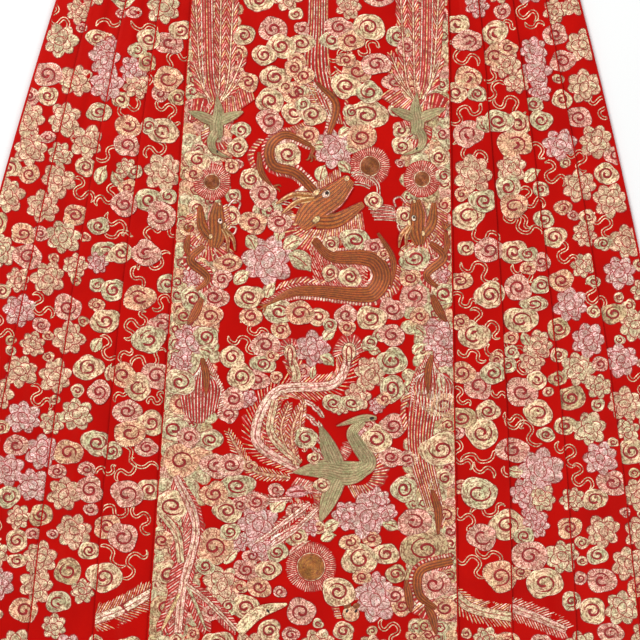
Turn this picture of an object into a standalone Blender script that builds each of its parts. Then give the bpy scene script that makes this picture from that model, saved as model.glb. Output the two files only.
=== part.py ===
"""An embroidered bridal skirt laid flat, front up: a wrap skirt with a flat door panel in front and behind,
knife pleats on both sides and one long cotton waistband whose end laps over the front and closes with frogs.

Metres, +Z up. The skirt lies on the plane z = 0, the waist is towards +Y, and x = 0 is its middle line.
"""

import math

import bmesh
import bpy

MM = 0.001

# The skirt, in millimetres
SKIRT_LENGTH = 820.0
WAIST_Y = 355.0
SATIN = 1.0
SEAM_GAP = 0.3
LAYER = SATIN + SEAM_GAP
HEM_RISE = 20.0

# Half widths of the front from the middle line to each fold: at the waist, growth per mm down, slackening
FOLDS = (
    {"waist": 124.8, "spread": 0.0417, "slack": 0.0},
    {"waist": 148.5, "spread": 0.132, "slack": 6.7e-5},
    {"waist": 177.8, "spread": 0.190, "slack": 8.0e-5},
    {"waist": 207.0, "spread": 0.245, "slack": 9.0e-5},
    {"waist": 237.0, "spread": 0.300, "slack": 1.0e-4},
)
SIDE = len(FOLDS) - 1

# Cloth turned under at each pleat, and the slope where a face climbs over it
TUCK_WAIST, TUCK_HEM = 10.0, 18.0
SLOPE_WAIST, SLOPE_HEM = 6.0, 12.0
PANEL_SLOPE = 30.0
TUCK_CLEAR = 2.0
FOLD_STEPS = 3
SIDE_STEPS = 5

# Middle heights of the three layers behind and the three in front, all lying on each other
BACK = [SATIN / 2 + n * LAYER for n in range(3)]
FRONT = [BACK[2] + (n + 1) * LAYER for n in range(3)]

# Distances below the waist seam where the cloth is drawn
STATIONS = (0, 12, 40, 75, 130, 200, 280, 360, 440, 520, 600, 680, 755, SKIRT_LENGTH)
BILLOW = 1.0
BILLOW_LENGTH = 310.0
BILLOW_WIDTH = 170.0

# The waistband, in millimetres: its cotton, its height above the seam and its lap over the satin
BAND = 1.5
BAND_LAYER = BAND + SEAM_GAP
BAND_HEIGHT = 110.0
BAND_LAP = 12.0
BAND_HALF_WIDTH = 246.0
INNER_END_X = -100.0
OUTER_END_X = 128.0
CLIMB_START_X, CLIMB_END_X = -128.0, -104.0
# Height of the band's lower front layer: above the seam, and its middle height
BAND_DRAPE = ((-BAND_LAP, 10.35), (0.0, 10.35), (25.0, 6.6), (60.0, 3.7), (BAND_HEIGHT, 2.55))
WAIST_LIFT = BAND_LAYER
LIFT_END = 90.0

# The frogs: doubled cloth cord, a round knot and the loop about it
CORD = 2.4
CORD_SIDES = 6
KNOT = 9.0
KNOT_X = 134.4
FROG_REACH = 40.0
FROG_HEIGHTS = (32.0, 82.0)
LOOP_STEPS = 14
TURN_STEPS = 4

RED_SATIN = {"color": (0.62, 0.01, 0.012, 1.0), "roughness": 0.42, "metallic": 0.0}
COTTON = {"color": (0.78, 0.74, 0.65, 1.0), "roughness": 0.85, "metallic": 0.0}
FROG_CLOTH = {"color": (0.5, 0.012, 0.014, 1.0), "roughness": 0.5, "metallic": 0.0}


def clear_scene():
    for obj in list(bpy.data.objects):
        bpy.data.objects.remove(obj)


def material(name, look):
    made = bpy.data.materials.get(name)
    if made:
        return made
    made = bpy.data.materials.new(name)
    made.use_nodes = True
    shader = made.node_tree.nodes["Principled BSDF"]
    shader.inputs["Base Color"].default_value = look["color"]
    shader.inputs["Roughness"].default_value = look["roughness"]
    shader.inputs["Metallic"].default_value = look["metallic"]
    return made


def smoothstep(low, high, value):
    share = min(1.0, max(0.0, (value - low) / (high - low)))
    return share * share * (3 - 2 * share)


def fold_x(number, down):
    fold = FOLDS[number]
    return fold["waist"] + fold["spread"] * down - fold["slack"] * down * down


def tuck(down):
    return TUCK_WAIST + (TUCK_HEM - TUCK_WAIST) * down / SKIRT_LENGTH


def slope(down):
    return SLOPE_WAIST + (SLOPE_HEM - SLOPE_WAIST) * down / SKIRT_LENGTH


def half_turn(x, from_z, to_z, bulge, steps):
    """A fold seen from its end: a half circle at x from one layer's height to the next, bulging to +1 or -1."""
    middle, radius = (from_z + to_z) / 2, (from_z - to_z) / 2
    turns = [math.pi * step / steps for step in range(steps + 1)]
    return [(x + bulge * abs(radius) * math.sin(a), middle + radius * math.cos(a)) for a in turns]


def side_section(down):
    """One pleated side from its seam under the front panel, out to the side edge and back underneath."""
    folds = [fold_x(n, down) for n in range(SIDE + 1)]
    under, climb = tuck(down), slope(down)
    low, middle, high = FRONT
    points = [(folds[0] - under, low), (folds[0], low)]
    for fold in folds[1:SIDE]:
        points.append((fold - under - TUCK_CLEAR - climb, low))
        points.append((fold - under - TUCK_CLEAR, high))
        points += half_turn(fold, high, middle, 1, FOLD_STEPS)
        points += half_turn(fold - under, middle, low, -1, FOLD_STEPS)
        points.append((fold, low))
    points += half_turn(folds[SIDE], low, BACK[0], 1, SIDE_STEPS)
    for fold in reversed(folds[1:SIDE]):
        points.append((fold + TUCK_CLEAR + climb, BACK[0]))
        points.append((fold + TUCK_CLEAR, BACK[2]))
        points += half_turn(fold - under, BACK[2], BACK[1], -1, FOLD_STEPS)
        points += half_turn(fold, BACK[1], BACK[0], 1, FOLD_STEPS)
    points.append((folds[0] + TUCK_CLEAR + climb, BACK[0]))
    points.append((folds[0] + TUCK_CLEAR, BACK[2]))
    points.append((folds[0] - under, BACK[2]))
    return points


def mirrored(points):
    return [(-x, z) for x, z in points]


def front_panel_section(down):
    """The flat front door: its two edges are folded under and its middle sinks between them."""
    edge, under = fold_x(0, down), tuck(down)
    low, middle, high = FRONT
    climb_top = edge - under - TUCK_CLEAR
    half = [(0.0, low), (edge * 0.4, low), (climb_top - PANEL_SLOPE, low), (climb_top, high)]
    half += half_turn(edge, high, middle, 1, FOLD_STEPS)
    half.append((edge - under, middle))
    return mirrored(half[:0:-1]) + half


def back_panel_section(down):
    """The back door, flat on the ground, with its two edges folded up and in."""
    edge, under = fold_x(0, down), tuck(down)
    half = [(0.0, BACK[0]), (edge * 0.5, BACK[0])]
    half += half_turn(edge, BACK[0], BACK[1], 1, FOLD_STEPS)
    half.append((edge - under, BACK[1]))
    return mirrored(half[:0:-1]) + half


def billow(x, down):
    """The front's soft swell over the air between the layers; it dies out at the waist, hem and side edges."""
    along = math.sin(math.pi * down / BILLOW_LENGTH + x / BILLOW_WIDTH)
    ends = smoothstep(60, 160, down) * (1 - smoothstep(0.9, 1.0, down / SKIRT_LENGTH))
    side = 1 - smoothstep(fold_x(2, down), fold_x(3, down), abs(x))
    return BILLOW * ends * side * (0.5 + 0.5 * along)


def laid(section):
    """Stations of a satin piece: each section point put at its place along the fan of pleats."""
    half_hem = fold_x(SIDE, SKIRT_LENGTH)
    stations = []
    for down in STATIONS:
        lift = WAIST_LIFT * (1 - smoothstep(BAND_LAP, LIFT_END, down))
        station = []
        for x, z in section(down):
            shorter = HEM_RISE * (x / half_hem) ** 2 * down / SKIRT_LENGTH
            in_front = z > BACK[2] + LAYER / 2
            swell = billow(x, down) if in_front else 0.0
            station.append((x, WAIST_Y - down + shorter, z + lift + swell))
        stations.append(station)
    return stations


def band_level(above):
    """Middle height of the band's lower front layer, this far above the waist seam."""
    for (start, low), (end, high) in zip(BAND_DRAPE, BAND_DRAPE[1:]):
        if above <= end:
            return low + (high - low) * (above - start) / (end - start)
    return BAND_DRAPE[-1][1]


def band_section(above):
    """The long band wound once round: from its inner end, round behind, to the end that laps on top."""
    level, behind = band_level(above), BAND / 2
    turn = (level - behind) / 2
    turn_x = BAND_HALF_WIDTH - turn
    points = [(INNER_END_X, level), (0.0, level), (OUTER_END_X, level)]
    points += half_turn(turn_x, level, behind, 1, SIDE_STEPS)
    points.append((0.0, behind))
    points += half_turn(-turn_x, behind, level, -1, SIDE_STEPS)
    points += [(CLIMB_START_X, level), (CLIMB_END_X, level + BAND_LAYER)]
    points += [(0.0, level + BAND_LAYER), (OUTER_END_X, level + BAND_LAYER)]
    return points


def band_stations():
    return [[(x, WAIST_Y + above, z) for x, z in band_section(above)] for above, _ in BAND_DRAPE]


def offset(points, distance):
    """The section's points moved sideways in its own upright plane, mitred at each corner."""
    moved = []
    count = len(points)
    for i, (x, y, z) in enumerate(points):
        ways = []
        for a, b in ((i - 1, i), (i, i + 1)):
            if a >= 0 and b < count:
                along, rise = points[b][0] - points[a][0], points[b][2] - points[a][2]
                length = math.hypot(along, rise)
                ways.append((-rise / length, along / length))
        nx = sum(w[0] for w in ways)
        nz = sum(w[1] for w in ways)
        size = math.hypot(nx, nz)
        nx, nz = nx / size, nz / size
        mitre = 1 / max(0.5, nx * ways[0][0] + nz * ways[0][1])
        moved.append((x + nx * distance * mitre, y, z + nz * distance * mitre))
    return moved


def link(name, mesh, look_name, look):
    mesh.materials.append(material(look_name, look))
    mesh.shade_smooth()
    mesh.set_sharp_from_angle(angle=math.radians(50))
    obj = bpy.data.objects.new(name, mesh)
    bpy.context.scene.collection.objects.link(obj)
    return obj


def wall(name, stations, thickness, look_name, look):
    """A closed cloth wall through the stations' sections, half its thickness to either side."""
    mesh_points, rings = [], []
    for station in stations:
        ring = offset(station, thickness / 2) + offset(station, -thickness / 2)[::-1]
        rings.append(range(len(mesh_points), len(mesh_points) + len(ring)))
        mesh_points += [(x * MM, y * MM, z * MM) for x, y, z in ring]
    count = len(rings[0])
    faces = []
    for upper, lower in zip(rings, rings[1:]):
        for i in range(count):
            j = (i + 1) % count
            faces.append((upper[i], upper[j], lower[j], lower[i]))
    for ring in (rings[0], rings[-1]):
        for i in range(count // 2 - 1):
            faces.append((ring[i], ring[i + 1], ring[count - 2 - i], ring[count - 1 - i]))
    mesh = bpy.data.meshes.new(name)
    mesh.from_pydata(mesh_points, [], faces)
    shape = bmesh.new()
    shape.from_mesh(mesh)
    bmesh.ops.recalc_face_normals(shape, faces=shape.faces)
    shape.to_mesh(mesh)
    shape.free()
    return link(name, mesh, look_name, look)


def cord(name, path):
    """A round cloth cord along the path, with closed ends."""
    curve = bpy.data.curves.new(name, "CURVE")
    curve.dimensions = "3D"
    curve.bevel_depth = CORD / 2 * MM
    curve.bevel_resolution = 1
    curve.use_fill_caps = True
    spline = curve.splines.new("POLY")
    spline.points.add(len(path) - 1)
    for point, (x, y, z) in zip(spline.points, path):
        point.co = (x * MM, y * MM, z * MM, 1)
    curve.materials.append(material("frog_cloth", FROG_CLOTH))
    obj = bpy.data.objects.new(name, curve)
    bpy.context.scene.collection.objects.link(obj)
    return obj


def hairpin(start_x, turn_x, turn_radius, y, steps, gap_half):
    """A cord doubled on itself: in along one side, round a circle at turn_x and out along the other."""
    toward = 1 if turn_x > start_x else -1
    opening = math.asin(gap_half / turn_radius)
    neck_x = turn_x - toward * turn_radius * math.cos(opening)
    first = [(start_x + (neck_x - start_x) * n / 3, y + gap_half) for n in range(3)]
    angles = [math.pi - opening - (2 * math.pi - 2 * opening) * n / steps for n in range(steps + 1)]
    ring = [(turn_x + toward * turn_radius * math.cos(a), y + turn_radius * math.sin(a)) for a in angles]
    return first + ring + [(x, 2 * y - side_y) for x, side_y in reversed(first)]


def band_surface(y, layers):
    """Top of the band's front, one or two layers thick, with the seam gap above it."""
    return band_level(y - WAIST_Y) + BAND / 2 + (layers - 1) * BAND_LAYER + SEAM_GAP


def frog(number, above):
    """One straight frog: a loop on the lapped end, a knot in it and a doubled tail on the band below."""
    y = WAIST_Y + above
    pair_half = (CORD + SEAM_GAP) / 2
    cord_height = CORD / 2 * math.cos(math.pi / CORD_SIDES)
    ring_radius = KNOT / 2 + SEAM_GAP + CORD / 2
    tail_x = KNOT_X + ring_radius + CORD + SEAM_GAP + pair_half
    loop = hairpin(KNOT_X - ring_radius - FROG_REACH, KNOT_X, ring_radius, y, LOOP_STEPS, pair_half)
    cord(f"frog_{number}_loop", [(x, cy, band_surface(cy, 2) + cord_height) for x, cy in loop])
    tail = hairpin(tail_x + FROG_REACH, tail_x, pair_half * 1.01, y, TURN_STEPS, pair_half)
    cord(f"frog_{number}_tail", [(x, cy, band_surface(cy, 1) + cord_height) for x, cy in tail])
    mesh = bpy.data.meshes.new(f"frog_{number}_knot")
    shape = bmesh.new()
    bmesh.ops.create_icosphere(shape, subdivisions=2, radius=KNOT / 2 * MM)
    knot_z = band_surface(y, 1) + KNOT / 2
    bmesh.ops.translate(shape, verts=shape.verts, vec=(KNOT_X * MM, y * MM, knot_z * MM))
    shape.to_mesh(mesh)
    shape.free()
    link(f"frog_{number}_knot", mesh, "frog_cloth", FROG_CLOTH)


def main():
    clear_scene()
    wall("front_panel", laid(front_panel_section), SATIN, "red_satin", RED_SATIN)
    wall("back_panel", laid(back_panel_section), SATIN, "red_satin", RED_SATIN)
    wall("pleats_right", laid(side_section), SATIN, "red_satin", RED_SATIN)
    wall("pleats_left", laid(lambda down: mirrored(side_section(down))), SATIN, "red_satin", RED_SATIN)
    wall("waistband", band_stations(), BAND, "cotton", COTTON)
    for number, above in enumerate(FROG_HEIGHTS, start=1):
        frog(number, above)


main()
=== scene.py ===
"""The looks of the embroidered bridal skirt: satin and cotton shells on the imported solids, and couched
metal-thread embroidery raised on them as low relief.

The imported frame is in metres; every size below is in millimetres until a mesh is made.
"""

import math

import bpy
import numpy as np
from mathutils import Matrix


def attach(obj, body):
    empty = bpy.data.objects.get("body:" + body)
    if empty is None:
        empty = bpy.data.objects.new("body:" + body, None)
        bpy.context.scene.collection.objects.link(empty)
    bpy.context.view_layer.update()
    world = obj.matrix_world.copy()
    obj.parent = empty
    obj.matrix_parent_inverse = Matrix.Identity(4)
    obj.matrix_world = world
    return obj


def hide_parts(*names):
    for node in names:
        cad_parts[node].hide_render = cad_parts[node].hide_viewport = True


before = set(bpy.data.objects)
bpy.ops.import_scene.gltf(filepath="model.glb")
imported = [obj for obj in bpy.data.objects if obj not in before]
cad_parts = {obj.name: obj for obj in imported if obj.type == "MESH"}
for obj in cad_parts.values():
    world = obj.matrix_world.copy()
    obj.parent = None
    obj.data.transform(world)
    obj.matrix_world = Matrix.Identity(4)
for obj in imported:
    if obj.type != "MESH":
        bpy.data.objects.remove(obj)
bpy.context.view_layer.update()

MM = 0.001
SEED = 8
rng = np.random.default_rng(SEED)

# The skirt's layout, the same values as its solids

SKIRT_LENGTH = 820.0
WAIST_Y = 355.0
SATIN = 1.0
SEAM_GAP = 0.3
LAYER = SATIN + SEAM_GAP
HEM_RISE = 20.0
FOLDS = (
    {"waist": 124.8, "spread": 0.0417, "slack": 0.0},
    {"waist": 148.5, "spread": 0.132, "slack": 6.7e-5},
    {"waist": 177.8, "spread": 0.190, "slack": 8.0e-5},
    {"waist": 207.0, "spread": 0.245, "slack": 9.0e-5},
    {"waist": 237.0, "spread": 0.300, "slack": 1.0e-4},
)
SIDE = len(FOLDS) - 1
TUCK_WAIST, TUCK_HEM = 10.0, 18.0
SLOPE_WAIST, SLOPE_HEM = 6.0, 12.0
PANEL_SLOPE = 30.0
TUCK_CLEAR = 2.0
# The distance over which the painted shadow beside a fold fades
FOLD_SHADE = 1.1
BACK = [SATIN / 2 + n * LAYER for n in range(3)]
FRONT = [BACK[2] + (n + 1) * LAYER for n in range(3)]
BILLOW, BILLOW_LENGTH, BILLOW_WIDTH = 1.0, 310.0, 170.0
BILLOW_START, BILLOW_FULL, BILLOW_END = 60.0, 160.0, 0.9
BAND = 1.5
BAND_LAYER = BAND + SEAM_GAP
BAND_HEIGHT = 110.0
BAND_LAP = 12.0
BAND_HALF_WIDTH = 246.0
INNER_END_X, OUTER_END_X = -100.0, 128.0
CLIMB_START_X, CLIMB_END_X = -128.0, -104.0
BAND_DRAPE = ((-BAND_LAP, 10.35), (0.0, 10.35), (25.0, 6.6), (60.0, 3.7), (BAND_HEIGHT, 2.55))
LIFT_END = 90.0

# Thickness of the shells that are seen, a little less than the solids'
SHELL = 0.9

# The picture: one unit is a millimetre, turned a little against the skirt

PICTURE = 640.0
PICTURE_TURN = math.radians(1.53)
PICTURE_AXIS_U = 319.5
PICTURE_TOP_V = 20.0
PICTURE_TOP_DOWN = 100.0
LENS = 100.0
SENSOR = 36.0


def plan(u, v):
    """A place on the picture as x and y on the skirt, in millimetres."""
    a, b = np.asarray(u, float) - PICTURE_AXIS_U, np.asarray(v, float) - PICTURE_TOP_V
    c, s = math.cos(PICTURE_TURN), math.sin(PICTURE_TURN)
    return a * c + b * s, WAIST_Y - PICTURE_TOP_DOWN + a * s - b * c


def smoothstep(low, high, value):
    """From 0 at low to 1 at high, easing in and out."""
    share = np.clip((value - low) / (high - low), 0.0, 1.0)
    return share * share * (3 - 2 * share)


def fold_x(number, down):
    """How far out a fold lies at a distance below the waist: 0 is the panel's edge, the last the side's."""
    fold = FOLDS[number]
    return fold["waist"] + fold["spread"] * down - fold["slack"] * down * down


def tuck(down):
    """How far the cloth turns back under a fold."""
    return TUCK_WAIST + (TUCK_HEM - TUCK_WAIST) * down / SKIRT_LENGTH


def slope(down):
    """Over what width the cloth climbs onto what lies under it."""
    return SLOPE_WAIST + (SLOPE_HEM - SLOPE_WAIST) * down / SKIRT_LENGTH


HALF_HEM = fold_x(SIDE, SKIRT_LENGTH)


def rise_share(x):
    """How much shorter the skirt is at x than down its middle, as a share."""
    return HEM_RISE * (x / HALF_HEM) ** 2 / SKIRT_LENGTH


def y_of(x, down):
    """The y of a place at x and a distance below the waist."""
    return WAIST_Y - down * (1 - rise_share(x))


def down_of(x, y):
    """The distance below the waist of a place: y_of() the other way."""
    return (WAIST_Y - y) / (1 - rise_share(x))


def lift(down):
    """How much higher the cloth lies near the waist, with the waistband's back layer under it."""
    return BAND_LAYER * (1 - smoothstep(BAND_LAP, LIFT_END, down))


def billow(x, down):
    """A long low wave of the front and its first folds."""
    along = np.sin(math.pi * down / BILLOW_LENGTH + x / BILLOW_WIDTH)
    ends = smoothstep(BILLOW_START, BILLOW_FULL, down)
    ends = ends * (1 - smoothstep(BILLOW_END, 1.0, down / SKIRT_LENGTH))
    side = 1 - smoothstep(fold_x(2, down), fold_x(3, down), np.abs(x))
    return BILLOW * ends * side * (0.5 + 0.5 * along)


# Creases: soft ridges with a trough on each side, placed one by one

CREASE_COLUMNS = ("u", "v", "length", "angle", "width", "height")
CREASES = (
    (240, 120, 60, 8, 7, 0.7),
    (392, 345, 46, -14, 5, 1.1),
    (396, 333, 38, 6, 6, 0.8),
    (390, 398, 60, 4, 6, 1.0),
    (236, 345, 40, -6, 5, 0.7),
    (228, 410, 44, 10, 6, 0.9),
    (215, 522, 60, 12, 6, 0.9),
    (232, 470, 40, -8, 5, 0.7),
    (385, 500, 50, 10, 6, 0.8),
    (372, 572, 70, -12, 7, 1.1),
    (330, 545, 60, 5, 7, 0.8),
    (255, 600, 90, 6, 8, 1.0),
    (400, 610, 60, -5, 7, 0.9),
    (400, 150, 40, 6, 6, 0.7),
    (394, 230, 34, -10, 5, 0.7),
    (160, 395, 50, 4, 6, 0.9),
    (168, 535, 60, 8, 6, 1.0),
    (158, 312, 40, -6, 6, 0.7),
    (176, 240, 30, 10, 5, 0.6),
    (130, 470, 44, -4, 6, 0.8),
    (120, 590, 60, 6, 7, 1.0),
    (474, 305, 40, -6, 6, 0.8),
    (530, 303, 46, -12, 6, 1.0),
    (470, 565, 60, 6, 7, 0.9),
    (520, 585, 70, -8, 8, 1.0),
    (462, 385, 36, 8, 6, 0.7),
    (525, 395, 40, 4, 6, 0.8),
    (476, 180, 34, -4, 5, 0.6),
    (522, 210, 40, 8, 6, 0.7),
    (480, 640, 80, 4, 8, 1.0),
    (300, 690, 120, -4, 9, 1.1),
    (380, 740, 90, 7, 8, 0.9),
    (200, 730, 110, -6, 9, 1.0),
    (570, 640, 90, -8, 8, 1.0),
    (60, 650, 90, 8, 8, 1.0),
    (40, 520, 70, 6, 7, 0.9),
    (590, 480, 70, -6, 7, 0.9),
    (75, 380, 50, 5, 6, 0.8),
    (570, 330, 50, -5, 6, 0.8),
    (300, -40, 80, 5, 8, 0.8),
    (420, -30, 60, -8, 7, 0.7),
    (210, 0, 60, 8, 7, 0.7),
)
CREASE_BEND, CREASE_SPREAD, CREASE_TAPER, CREASE_SCALE = 0.0035, 1.25, 2.1, 0.8
TROUGH_COLUMNS = ("place", "depth")
TROUGHS = ((1.7, 0.45), (-1.7, 0.3))


def crease_field(x, y):
    """Height of the creases at x and y."""
    total = np.zeros_like(x)
    for row in CREASES:
        crease = dict(zip(CREASE_COLUMNS, row))
        cx, cy = plan(crease["u"], crease["v"])
        turn = math.radians(crease["angle"])
        dx, dy = x - cx, y - cy
        along = dx * math.cos(turn) + dy * math.sin(turn)
        bend = CREASE_BEND * along * along * math.sin(crease["u"])
        across = -dx * math.sin(turn) + dy * math.cos(turn) + bend
        share = across / (CREASE_SPREAD * crease["width"])
        ridge = np.exp(-share * share)
        for trough in TROUGHS:
            t = dict(zip(TROUGH_COLUMNS, trough))
            ridge = ridge - t["depth"] * np.exp(-((share - t["place"]) ** 2))
        taper = np.exp(-((CREASE_TAPER * along / crease["length"]) ** 2))
        total += CREASE_SCALE * crease["height"] * ridge * taper
    return total


BROAD_WAVE, FINE_WAVE = 0.16, 0.12
SWELL_START, SWELL_FULL, SWELL_END = 20.0, 70.0, 0.93
SIDE_CALM_START, SIDE_CALM_END = -26.0, -6.0


def cloth_swell(x, down, in_front):
    """What the front layers stand above their flat place: the billow, the creases and faint waves."""
    y = y_of(x, down)
    inside = smoothstep(SWELL_START, SWELL_FULL, down)
    inside = inside * (1 - smoothstep(SWELL_END, 1.0, down / SKIRT_LENGTH))
    wave = BROAD_WAVE * np.sin(x / 23.0 + y / 61.0) * np.sin(y / 17.0 - x / 90.0)
    wave = wave + FINE_WAVE * np.sin(y / 9.0 + x / 33.0)
    near_side = 1 - smoothstep(SIDE_CALM_START, SIDE_CALM_END, np.abs(x) - fold_x(SIDE, down))
    return in_front * inside * near_side * (crease_field(x, y) + wave) + in_front * billow(x, down)


# The tops that the embroidery lies on

# A fold counts as begun this far before its line, and everything lies nearer than FAR
FOLD_NEAR = 3.0
FAR = 900.0


def region_bounds(region, down):
    """The visible span of x: 0 is the front panel, then come 1 to 4 to the right, -1 to -4 to the left."""
    number = abs(region)
    outer = fold_x(number, down)
    if region == 0:
        return -outer, outer
    inner = fold_x(number - 1, down)
    return (inner, outer) if region > 0 else (-outer, -inner)


def fold_shade(regions, x, down):
    """The painted shadow beside each fold that lies over the cloth: how much darker the cloth just beyond it
    is, from 0 to 1.
    """
    shade = np.zeros_like(x)
    for number in range(SIDE):
        beyond = np.abs(x) - fold_x(number, down)
        here = (np.abs(regions) == number + 1) & (beyond > -FOLD_NEAR)
        shade = np.where(here, np.maximum(shade, np.exp(-np.maximum(beyond, 0) / FOLD_SHADE)), shade)
    return shade


def front_middle(region, x, down):
    """Height of the front cloth's middle on a face, before any lift or swell."""
    number, reach = abs(region), np.abs(x)
    edge = fold_x(number, down) - tuck(down) - TUCK_CLEAR
    if number == SIDE:
        return np.full_like(reach, FRONT[0])
    run = PANEL_SLOPE if region == 0 else slope(down)
    return FRONT[0] + (FRONT[2] - FRONT[0]) * smoothstep(edge - run, edge, reach)


def front_top(region, x, y):
    """Height of the front cloth's top at x and y on a face."""
    down = down_of(x, y)
    return front_middle(region, x, down) + SHELL / 2 + lift(down) + cloth_swell(x, down, 1.0)


def back_bottom(region, x, y):
    """Height of the back cloth's underside at x and y on a face."""
    down = down_of(x, y)
    start = (fold_x(abs(region) - 1, down) if region else np.zeros_like(x) - FAR) + TUCK_CLEAR
    rise = 1 - smoothstep(start, start + slope(down), np.abs(x))
    return BACK[0] + (BACK[2] - BACK[0]) * rise - SHELL / 2


def region_at(x, y):
    """The face that a place lies on, or None beyond the side edge."""
    down, reach = down_of(x, y), abs(x)
    for number in range(SIDE + 1):
        if reach <= fold_x(number, down):
            return number if x >= 0 else -number
    return None


# Mesh making

def mesh_object(name, points, quads, tris, material):
    """A mesh from arrays: points in metres, quads and tris of point numbers."""
    mesh = bpy.data.meshes.new(name)
    mesh.vertices.add(len(points))
    mesh.vertices.foreach_set("co", np.ascontiguousarray(points, np.float32).ravel())
    quads = np.asarray(quads, np.int32).reshape(-1, 4)
    tris = np.asarray(tris, np.int32).reshape(-1, 3)
    corners = np.concatenate([quads.ravel(), tris.ravel()])
    sizes = np.concatenate([np.full(len(quads), 4), np.full(len(tris), 3)])
    starts = np.concatenate([[0], np.cumsum(sizes)[:-1]])
    mesh.loops.add(len(corners))
    mesh.loops.foreach_set("vertex_index", corners.astype(np.int32))
    mesh.polygons.add(len(sizes))
    mesh.polygons.foreach_set("loop_start", starts.astype(np.int32))
    mesh.polygons.foreach_set("use_smooth", np.full(len(sizes), True))
    mesh.update(calc_edges=True)
    mesh.validate()
    mesh.materials.append(material)
    obj = bpy.data.objects.new(name, mesh)
    bpy.context.scene.collection.objects.link(obj)
    return obj


def add_map(mesh, name, per_point):
    """A map on the mesh from one pair of values a point."""
    layer = mesh.uv_layers.new(name=name)
    index = np.empty(len(mesh.loops), np.int32)
    mesh.loops.foreach_get("vertex_index", index)
    layer.data.foreach_set("uv", per_point[index].astype(np.float32).ravel())


MAP_MARGIN = 0.01


def flat_map(mesh, flat):
    """The flat map, a margin inside its square."""
    add_map(mesh, "OFBake", MAP_MARGIN + (1 - 2 * MAP_MARGIN) * flat)


# Materials

def srgb(red, green, blue):
    """A colour of 0 to 255 as the linear values that the materials take."""
    values = np.array([red, green, blue]) / 255
    return tuple(np.where(values <= 0.04045, values / 12.92, ((values + 0.055) / 1.055) ** 2.4))


class Nodes:
    """A short way to build a material's nodes."""

    def __init__(self, name):
        self.material = bpy.data.materials.new(name)
        self.material.use_nodes = True
        self.tree = self.material.node_tree
        self.shader = self.tree.nodes["Principled BSDF"]

    def add(self, kind, inputs=None, **settings):
        node = self.tree.nodes.new(kind)
        for key, value in settings.items():
            setattr(node, key, value)
        for key, value in (inputs or {}).items():
            self.put(node.inputs[key], value)
        return node

    def put(self, socket, value):
        if isinstance(value, bpy.types.NodeSocket):
            self.tree.links.new(value, socket)
        else:
            socket.default_value = value

    def set(self, **values):
        for key, value in values.items():
            self.put(self.shader.inputs[key.replace("_", " ")], value)

    def math(self, operation, a, b=0.0, c=0.5, clamp=False):
        return self.add("ShaderNodeMath", {0: a, 1: b, 2: c}, operation=operation, use_clamp=clamp).outputs[0]

    def noise(self, scale, detail, place, roughness=0.5):
        inputs = {"Scale": scale, "Detail": detail, "Vector": place, "Roughness": roughness}
        return self.add("ShaderNodeTexNoise", inputs).outputs["Fac"]

    def remap(self, value, low, high, to_low=0.0, to_high=1.0):
        inputs = {"Value": value, "From Min": low, "From Max": high, "To Min": to_low, "To Max": to_high}
        return self.add("ShaderNodeMapRange", inputs).outputs[0]

    def mix(self, factor, a, b, blend="MIX"):
        node = self.add("ShaderNodeMix", data_type="RGBA", blend_type=blend)
        for key, value in ((0, factor), (6, a), (7, b)):
            if not isinstance(value, bpy.types.NodeSocket) and key != 0:
                value = (*value[:3], 1.0)
            self.put(node.inputs[key], value)
        return node.outputs[2]

    def bump(self, height, strength, distance, normal=None):
        inputs = {"Height": height, "Strength": strength, "Distance": distance}
        if normal is not None:
            inputs["Normal"] = normal
        return self.add("ShaderNodeBump", inputs).outputs[0]

    def place(self):
        return self.add("ShaderNodeTexCoord").outputs["Object"]


SATIN_WARP, SATIN_WEFT, COTTON_WEAVE = 0.0006, 0.0009, 0.0012
SATIN_TINT = (1.0, 0.12, 0.08, 1.0)


def satin_material():
    """Red silk satin: a fine weave, faint slubs and cloudy changes of tone, with painted shadow beside the
    folds.
    """
    n = Nodes("satin")
    place = n.place()
    tone = n.remap(n.noise(22.0, 3.0, place), 0.3, 0.7)
    fine = n.remap(n.noise(420.0, 2.0, place), 0.3, 0.7)
    base = n.mix(tone, srgb(172, 10, 7), srgb(192, 14, 8))
    base = n.mix(n.math("MULTIPLY", fine, 0.35), base, srgb(176, 8, 10))
    # Painted shadow: the cloth is darkened just beyond each fold that lies over it
    shade = n.add("ShaderNodeAttribute", attribute_name="shade").outputs["Fac"]
    base = n.mix(n.math("MULTIPLY", shade, 0.75), base, srgb(84, 4, 6))
    split = n.add("ShaderNodeSeparateXYZ", {0: place})
    warp = n.math("SINE", n.math("MULTIPLY", split.outputs["X"], 2 * math.pi / SATIN_WARP))
    weft = n.math("SINE", n.math("MULTIPLY", split.outputs["Y"], 2 * math.pi / SATIN_WEFT))
    weave = n.math("ADD", n.math("MULTIPLY", warp, 0.5), n.math("MULTIPLY", weft, 0.25))
    soft = n.bump(n.noise(90.0, 3.0, place), 0.25, 0.0012)
    n.set(Base_Color=base, Roughness=0.42, Normal=n.bump(weave, 0.12, 0.00015, soft))
    n.set(Specular_IOR_Level=0.3)
    n.shader.inputs["Specular Tint"].default_value = SATIN_TINT
    return n.material


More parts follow.
